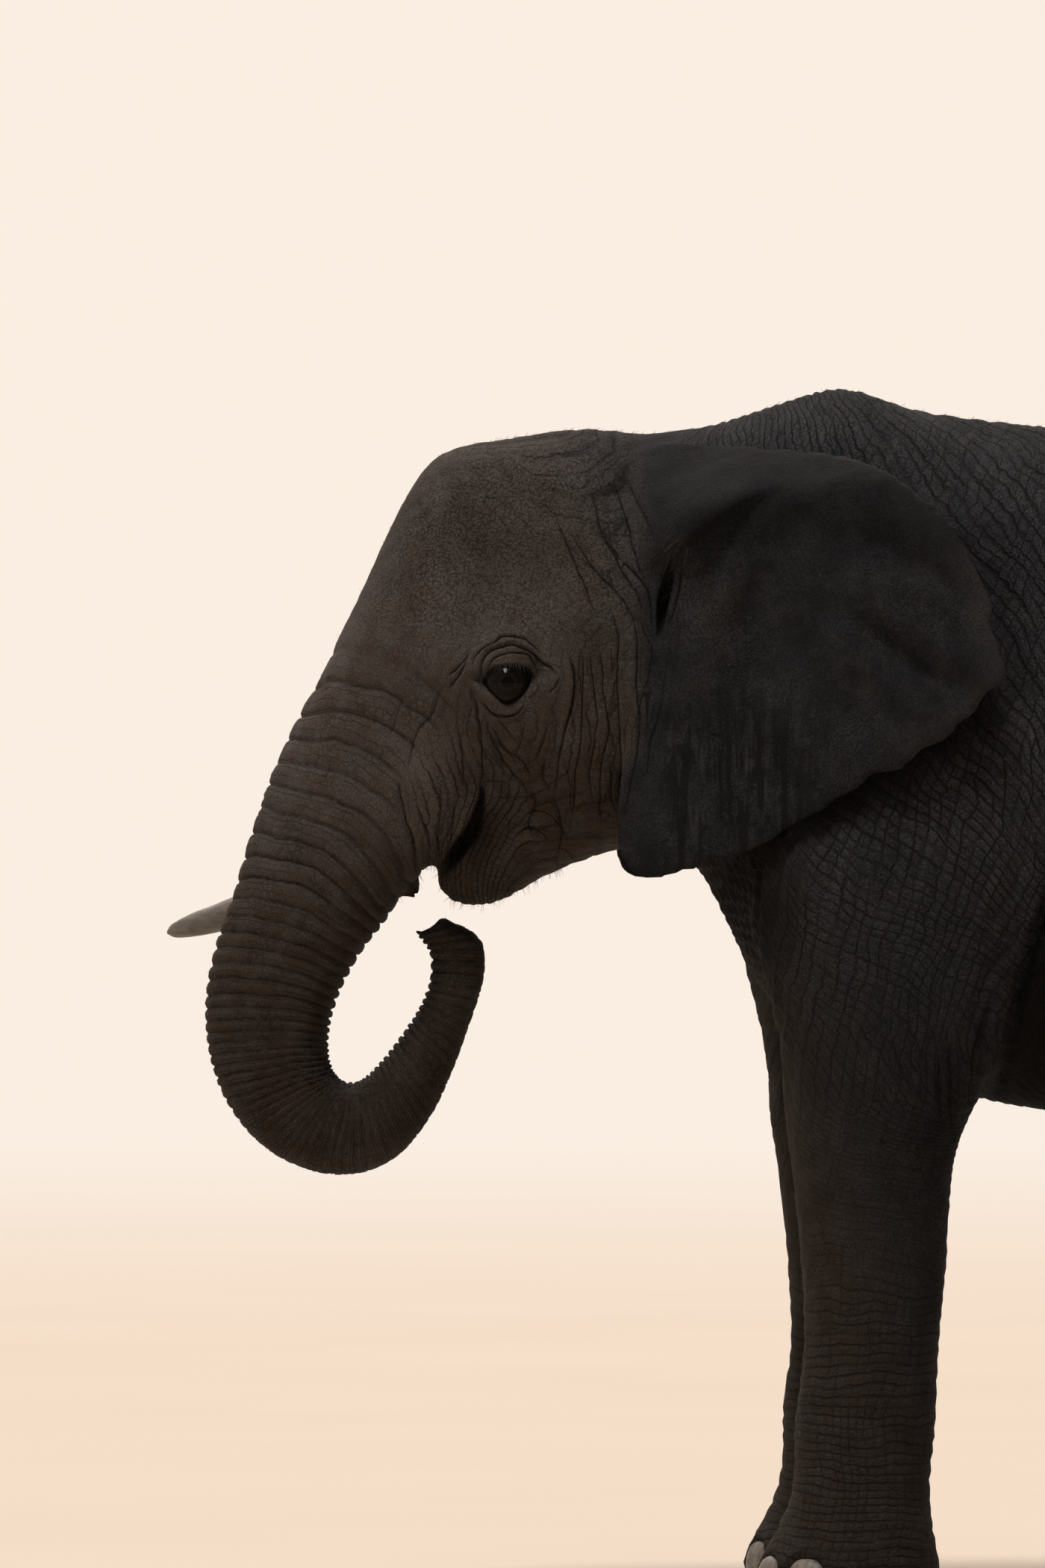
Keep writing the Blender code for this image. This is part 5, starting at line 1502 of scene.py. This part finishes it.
class Value:
    """What a node puts out, on which sums can be written."""

    def __init__(self, finish, output):
        self.finish, self.output = finish, output

    def __add__(self, other):
        return self.finish.sum("ADD", self, other)

    def __sub__(self, other):
        return self.finish.sum("SUBTRACT", self, other)

    def __rsub__(self, other):
        return self.finish.sum("SUBTRACT", other, self)

    def __mul__(self, other):
        return self.finish.sum("MULTIPLY", self, other)

    def __truediv__(self, other):
        return self.finish.sum("DIVIDE", self, other)

    def __rtruediv__(self, other):
        return self.finish.sum("DIVIDE", other, self)

    def __pow__(self, other):
        return self.finish.sum("POWER", self, other)

    def __abs__(self):
        return self.finish.sum("ABSOLUTE", self)

    __radd__ = __add__
    __rmul__ = __mul__

    def most(self, *others):
        """The highest of these values."""
        highest = self
        for other in others:
            highest = self.finish.sum("MAXIMUM", highest, other)
        return highest

    def step(self, low, high):
        """0 below low to 1 above high, or the other way round where low is the higher."""
        values = {"Value": self, "From Min": low, "From Max": high}
        return self.finish.node("MapRange", {"interpolation_type": "SMOOTHSTEP"}, values)


class Finish:
    """The nodes of one material, or of the world."""

    def __init__(self, owner):
        owner.use_nodes = True
        self.owner, self.tree = owner, owner.node_tree
        self.tree.nodes.clear()

    def node(self, kind, settings, values, output=0):
        made = self.tree.nodes.new("ShaderNode" + kind)
        for name, setting in settings.items():
            setattr(made, name, setting)
        for name, value in values.items():
            if isinstance(value, Value):
                self.tree.links.new(value.output, made.inputs[name])
            else:
                made.inputs[name].default_value = value
        return Value(self, made.outputs[output]) if made.outputs else made

    def sum(self, operation, *values):
        return self.node("Math", {"operation": operation}, dict(enumerate(values)))

    def mix(self, share, first, second):
        """From the first tint, or colour, to the second."""
        colours = [c if isinstance(c, Value) else (*TINTS[c], 1) for c in (first, second)]
        return self.node("Mix", {"data_type": "RGBA"}, {0: share, 6: colours[0], 7: colours[1]}, 2)

    def vector(self, operation, *values, output=0):
        return self.node("VectorMath", {"operation": operation}, dict(enumerate(values)), output)

    def place(self):
        return self.node("TexCoord", {}, {}, "Object")

    def scaled(self, place, scale):
        return self.vector("MULTIPLY", place, scale if isinstance(scale, tuple) else (scale,) * 3)

    def noise(self, place, scale, detail=2.0, rough=0.5):
        values = {"Vector": place, "Scale": scale, "Detail": detail, "Roughness": rough}
        return self.node("TexNoise", {}, values, "Fac")

    def net(self, place, scale, width):
        """1 on the edges between scattered cells."""
        settings, values = {"feature": "DISTANCE_TO_EDGE"}, {"Vector": place, "Scale": scale}
        return self.node("TexVoronoi", settings, values, "Distance").step(width, 0.0)

    def dots(self, place, scale):
        """0 at scattered places, rising all round them."""
        return self.node("TexVoronoi", {"feature": "F1"}, {"Vector": place, "Scale": scale}, "Distance")

    def parts(self, vector):
        first = self.node("SeparateXYZ", {}, {0: vector})
        return [Value(self, output) for output in first.output.node.outputs]

    def stored(self, name):
        return self.parts(self.node("Attribute", {"attribute_name": name}, {}, "Vector"))

    def joined(self, *values):
        return self.node("CombineXYZ", {}, dict(enumerate(values)))

    def bump(self, height, strength):
        """The normal of a surface whose height is in millimetres."""
        return self.node("Bump", {}, {"Strength": strength, "Distance": 0.001, "Height": height}, "Normal")

    def surface(self, values):
        shader = self.node("BsdfPrincipled", {}, values)
        self.node("OutputMaterial", {}, {"Surface": shader})
        return self.owner


def finish(name):
    return Finish(bpy.data.materials.new(name))


def from_middle(f, phase):
    """0 midway between whole phases to a half at them."""
    return abs(f.sum("FRACT", phase) - 0.5)


def crease_line(f, place, phase, width, salt):
    """A thin dark line where the phase is whole, stronger here and fainter there."""
    whole = f.sum("FLOOR", phase + 0.5)
    where = f.vector("ADD", f.scaled(place, 9.0), f.joined(whole * 3.7 + salt, whole * 1.9, 0.0))
    return from_middle(f, phase).step(0.5 - width, 0.5) * f.noise(where, 1.0, 1.0).step(0.30, 0.56)


def hide_lines(f, place, trunk):
    """What is drawn on the hide, each from 0 to 1: its creases, its folds, and the gaps between its pads."""
    steep, flat, rings = f.stored("lines")
    steep_drawn, flat_drawn, _ = f.stored("drawn")
    fold_away, fold_drawn, _ = f.stored("folds")
    wobble = f.noise(place, 70.0, 2.0) * 0.5
    steep_line = crease_line(f, place, steep + wobble, 0.11, 3.0) * steep_drawn
    creases = steep_line.most(
        crease_line(f, place, flat + wobble, 0.11, 31.0) * flat_drawn,
        crease_line(f, place, flat * 2.0 + wobble, 0.13, 57.0) * flat_drawn * 0.50,
        crease_line(f, place, rings * 3.0 + wobble, 0.10, 71.0) * trunk * 0.6,
    )
    folds = abs(fold_away + f.noise(place, 150.0, 2.0) * 1.6 - 0.8).step(1.7, 0.4) * fold_drawn
    pads = from_middle(f, steep + wobble) * steep_drawn
    return creases, folds, pads.most(from_middle(f, flat + wobble) * flat_drawn)


def hide_ground(f, place, cool, ear, trunk, pale):
    """The hide's own colour under its grain and creases, and how light its tone is."""
    _, _, z = f.parts(place)
    tone = f.noise(place, 4.5, 5.0, 0.62).step(0.30, 0.70)
    rust = f.noise(f.vector("ADD", place, (3.0, 7.0, 1.0)), 7.0, 4.0, 0.6).step(0.50, 0.68)
    browner = (0.55 - 0.30 * pale - 0.40 * trunk * z.step(1.15, 1.35)).most(0.0)
    blotches = f.noise(place, 11.0, 4.0, 0.6).step(0.62, 0.38)
    dust = f.noise(place, 17.0, 4.0, 0.65).step(0.42, 0.66)
    warm = f.mix(tone, "warm dark", "warm light")
    warm = f.mix(rust * 0.55, warm, "rust")
    warm = f.mix(z.step(1.72, 1.42) * browner, warm, "brown")
    colour = f.mix(cool, warm, f.mix(tone, "cold dark", "cold light"))
    colour = f.mix(ear * (0.40 + 0.45 * blotches), colour, "ear")
    colour = f.mix(pale * 0.42, colour, "pale skin")
    return f.mix(dust * 0.26, colour, "dust"), tone


def hide_finish():
    """Elephant hide: pebbled and cracked, with creases, dust and wet runs on the ears, and painted shade in
    its creases and where little light reaches, with painted highlights on the ears' rims and the pebble tops.
    """
    f = finish("hide")
    place = f.place()
    x, y, z = f.parts(place)
    cleft, ear, trunk = f.stored("areas")
    # dark: the painted shade from shade(), where little light reaches
    cool, dark, streaky = f.stored("tints")
    # edge: how much painted rim highlight the ears get
    pale, edge = f.stored("drawn")[2], f.stored("folds")[2]
    creases, folds, pads = hide_lines(f, place, trunk)

    wander = f.node("TexNoise", {}, {"Vector": place, "Scale": 45.0}, "Color")
    warped = f.vector("ADD", place, f.scaled(wander, 0.010))
    broken = f.noise(place, 22.0, 2.0).step(0.35, 0.65)
    cracks = f.net(warped, 75.0, 0.10) * broken * (1 - 0.6 * ear)
    fine_cracks = f.net(warped, 190.0, 0.16)
    veins = f.net(f.scaled(warped, (1.0, 1.0, 0.5)), 26.0, 0.05) * ear
    grainy = z.step(1.62, 1.80).most(cool) * (1 - trunk)
    pebbly = f.noise(place, 6.5, 3.0).step(0.40, 0.62)
    pebbles = f.dots(place, 235.0)
    height = f.noise(place, 30.0, 4.0, 0.6) * 1.2 - creases * 2.6 - folds * 2.0 - pads * 2.6
    height = height - cracks * 1.1 - fine_cracks * 0.60
    height = height - pebbles * (0.35 + pebbly * 0.75) * (0.25 + 0.75 * grainy) - veins * 0.15

    # grains lighten the pebble tops: worn skin, and partly a painted highlight, stronger higher up
    grains = pebbles.step(0.42, 0.10) * (0.25 + 0.75 * pebbly) * (0.20 + 0.80 * grainy)
    flecks = f.dots(warped, 95.0).step(0.14, 0.05) * f.noise(place, 14.0).step(0.48, 0.62)
    dapples = f.noise(place, 38.0, 2.0).step(0.56, 0.66)
    runs = f.noise(f.joined(x * 75.0, y * 12.0, z * 7.0), 1.0, 2.0, 0.6)
    # painted shade darkens the creases, folds, cracks and clefts
    lines = (creases * 0.90).most(
        folds * 0.92, cracks * (0.62 - 0.34 * grainy), fine_cracks * (0.46 - 0.26 * grainy), cleft * 0.80
    )
    colour, tone = hide_ground(f, place, cool, ear, trunk, pale)
    for share, tint in (
        (grains * (0.50 - 0.15 * ear), "grain"),
        # painted shade in the hollows between the pebbles
        (pebbles.step(0.40, 0.75) * (0.12 + 0.46 * grainy), "painted shade between grains"),
        (flecks * (0.15 + 0.35 * grainy), "fleck"),
        # painted rim highlight on the ears
        (edge * 0.40, "painted ear rim light"),
        # painted shade where little light reaches: belly, chest, mouth, under and behind the ears
        (dark * 1.05, "shade"),
        ((cool * 0.40).most(ear * 0.55), "cool shade"),
        # painted shade on each side of the creases, between the pads
        (pads.step(0.22, 0.50) * 0.55, "painted shade between pads"),
        (runs.step(0.40, 0.32) * streaky * 0.20, "dry run"),
        (runs.step(0.49, 0.57).most(dapples * 0.7) * streaky * 0.85, "wet run"),
        (lines, "crease"),
    ):
        colour = f.mix(share, colour, tint)
    return f.surface({
        "Base Color": colour,
        "Roughness": 0.86 - tone * 0.10 - runs.step(0.50, 0.62) * streaky * 0.25,
        "Specular IOR Level": 0.08,
        "Normal": f.bump(height, 1.0),
    })


def eye_finish(middle):
    """A wet eye: a dark rayed iris and its pupil, a brown white, and painted shadow under the upper lid."""
    f = finish("wet eye")
    x, y, z = f.parts(f.place())
    across, up = x - middle.x, z - middle.z
    out = (across * across + up * up) ** 0.5
    turn = f.sum("ARCTAN2", up, across)
    rays = f.noise(f.joined(turn * 6.0, out * 160.0, 0.0), 1.0, 3.0)
    clouds = f.noise(f.joined(across, y, up), 240.0)
    iris = f.mix(rays.step(0.3, 0.7), "iris dark", "iris light")
    iris = f.mix(out.step(0.013, 0.0205), iris, "iris edge")
    white = f.mix(clouds.step(0.4, 0.7), "white dark", "white light")
    colour = f.mix(out.step(0.0195, 0.0220), iris, white)
    colour = f.mix(out.step(0.0125, 0.0090), colour, "pupil")
    # painted shadow of the upper lid over the eyeball
    colour = f.mix(up.step(0.006, 0.026) * 0.75, colour, "painted lid shadow")
    return f.surface({"Base Color": colour, "Roughness": 0.10, "Specular IOR Level": 0.07})


def ivory_finish(tip, root):
    """Ivory, grained and cracked along the tusk, and more stained towards its root."""
    f = finish("ivory")
    place = f.place()
    x, y, z = f.parts(place)
    along = (x - tip) / (root - tip)
    grain = f.noise(f.joined(x * 10.0, y * 90.0, z * 90.0), 1.0, 4.0, 0.6)
    stains = f.noise(place, 26.0, 4.0, 0.65)
    cracks = f.net(f.joined(x * 9.0, y * 60.0, z * 60.0), 1.0, 0.05) * f.noise(place, 14.0).step(0.5, 0.65)
    colour = f.mix(grain.step(0.3, 0.7), "ivory dark", "ivory light")
    colour = f.mix(stains.step(0.45, 0.68) * (0.35 + along * 0.6), colour, "ivory stain")
    colour = f.mix(cracks * 0.6, colour, "ivory crack")
    return f.surface({
        "Base Color": colour,
        "Roughness": 0.34 + stains * 0.25,
        "Normal": f.bump(grain * 0.30 - cracks * 0.40, 0.8),
    })


def nail_finish():
    """Worn horn, ridged from top to bottom and muddy at the floor."""
    f = finish("worn horn")
    place = f.place()
    x, y, z = f.parts(place)
    ridges = f.noise(f.joined(x * 110.0, y * 110.0, z * 9.0), 1.0, 3.0)
    dirt = f.noise(place, 34.0, 4.0, 0.65)
    muddy = (dirt.step(0.45, 0.65) * 0.8).most(z.step(0.040, 0.008) * 0.7)
    colour = f.mix(muddy, f.mix(ridges.step(0.3, 0.7), "horn dark", "horn light"), "mud")
    return f.surface({
        "Base Color": colour,
        "Roughness": 0.50 + dirt * 0.3,
        "Normal": f.bump(ridges * 0.7 - dirt * 0.3, 0.8),
    })


def hair_finish():
    """Dark bristle, some of it paler."""
    f = finish("bristle")
    shade = f.noise(f.place(), 60.0, 2.0)
    colour = f.mix(shade.step(0.35, 0.70), "hair dark", "hair light")
    return f.surface({"Base Color": colour, "Roughness": 0.65 + shade * 0.2, "Specular IOR Level": 0.2})


def surround(f, way):
    """The colour and strength of the plain pale surround, brightest behind the animal and to its front."""
    towards = f.vector("DOT_PRODUCT", way, (-0.45, 0.85, 0.28), output="Value")
    colour = f.mix(towards.step(-0.2, 0.9), "surround dim", "surround bright")
    return colour, 0.21 + towards.step(-0.5, 0.8) * 0.75


def floor_finish():
    """A floor that becomes the surround far from the animal."""
    f = finish("pale floor")
    place = f.place()
    far = f.vector("LENGTH", place, output="Value").step(9.0, 45.0)
    colour, strength = surround(f, f.vector("NORMALIZE", place))
    glow = strength * far
    cloudy = f.mix(f.noise(place, 0.6, 3.0), "floor dark", "floor light")
    return f.surface({
        "Base Color": f.mix(far, cloudy, "nothing"),
        "Roughness": 0.95,
        "Specular IOR Level": 0.0,
        "Emission Color": f.vector("MULTIPLY", colour, f.joined(glow, glow, glow)),
        "Emission Strength": 1.0,
    })


# ---- The stage --------------------------------------------------------------------------------------------
def camera(shift):
    data = bpy.data.cameras.new("camera")
    data.sensor_fit = "VERTICAL"
    data.sensor_height = SENSOR_HEIGHT
    data.lens = SENSOR_HEIGHT * VIEW_AWAY / VIEW_SPAN
    data.shift_y = VIEW_RISE
    data.clip_end = 500
    obj = bpy.data.objects.new("camera", data)
    obj.location = (VIEW_X + shift.x, -VIEW_AWAY, VIEW_HEIGHT)
    obj.rotation_euler = (math.pi / 2, 0, 0)
    bpy.context.scene.collection.objects.link(obj)
    bpy.context.scene.camera = obj


def soft_light(name, towards, spread, strength, colour):
    """A light from far off, softened by its spread in degrees."""
    data = bpy.data.lights.new(name, "SUN")
    data.energy = strength
    data.angle = math.radians(spread)
    data.color = colour
    obj = bpy.data.objects.new(name, data)
    obj.rotation_euler = Vector(towards).to_track_quat("-Z", "Y").to_euler()
    bpy.context.scene.collection.objects.link(obj)


def pale_sky():
    world = bpy.data.worlds.new("surround")
    bpy.context.scene.world = world
    f = Finish(world)
    colour, strength = surround(f, f.node("TexCoord", {}, {}, "Generated"))
    sky = f.node("Background", {}, {"Color": colour, "Strength": strength})
    f.node("OutputWorld", {}, {"Surface": sky})


def stage_floor():
    bm = bmesh.new()
    bmesh.ops.create_grid(bm, x_segments=8, y_segments=8, size=150)
    floor = add_object("floor", bm)
    floor.data.materials.append(floor_finish())


# ---- Putting it together ----------------------------------------------------------------------------------
def settle(obj, shift, material, slot, *nodes):
    """Moves a finished piece to the frame's place, gives it its finish and body, and hides the nodes it
    stands in for.
    """
    place_points(obj.data, points_of(obj.data) + np.array(shift))
    obj.data.materials.clear()
    obj.data.materials.append(material)
    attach(obj, "root")
    if nodes:
        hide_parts(*nodes)


def middle_of(node):
    low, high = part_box(node)
    return (Vector(low) + Vector(high)) / 2


shift = middle_of("eye_left") - Vector((EYE[0], -EYE[1], EYE[2]))
skin = carved_skin()
hide, eye, bristle, horn = hide_finish(), eye_finish(middle_of("eye_left")), hair_finish(), nail_finish()
for piece in all_hairs(skin):
    settle(piece, shift, bristle, "tuft", *(("tail_tuft",) if piece.name == "tail_hair" else ()))
apart = ("eye_left", "eye_right", "tusk_right", "tail_tuft")
flesh = sorted(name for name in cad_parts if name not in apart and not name.startswith("nail"))
settle(skin, shift, hide, "hide", *flesh)
for name, side in (("left", -1), ("right", 1)):
    settle(eyeball("eyeball_" + name, side), shift, eye, "eye", "eye_" + name)
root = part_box("tusk_right")[1][0]
settle(tusk(), shift, ivory_finish(root - IVORY_LENGTH, root), "ivory", "tusk_right")
for node, middle, out in nail_places():
    settle(nail("new_" + node, middle, out), shift, horn, "nail", node)

camera(shift)
pale_sky()
stage_floor()
soft_light("key", (0.18, 0.36, -0.92), 14, 2.1, (1.0, 0.95, 0.90))
soft_light("rim", (0.16, -0.62, -0.76), 18, 1.2, (1.0, 0.90, 0.82))
bpy.context.scene.view_settings.view_transform = "Standard"
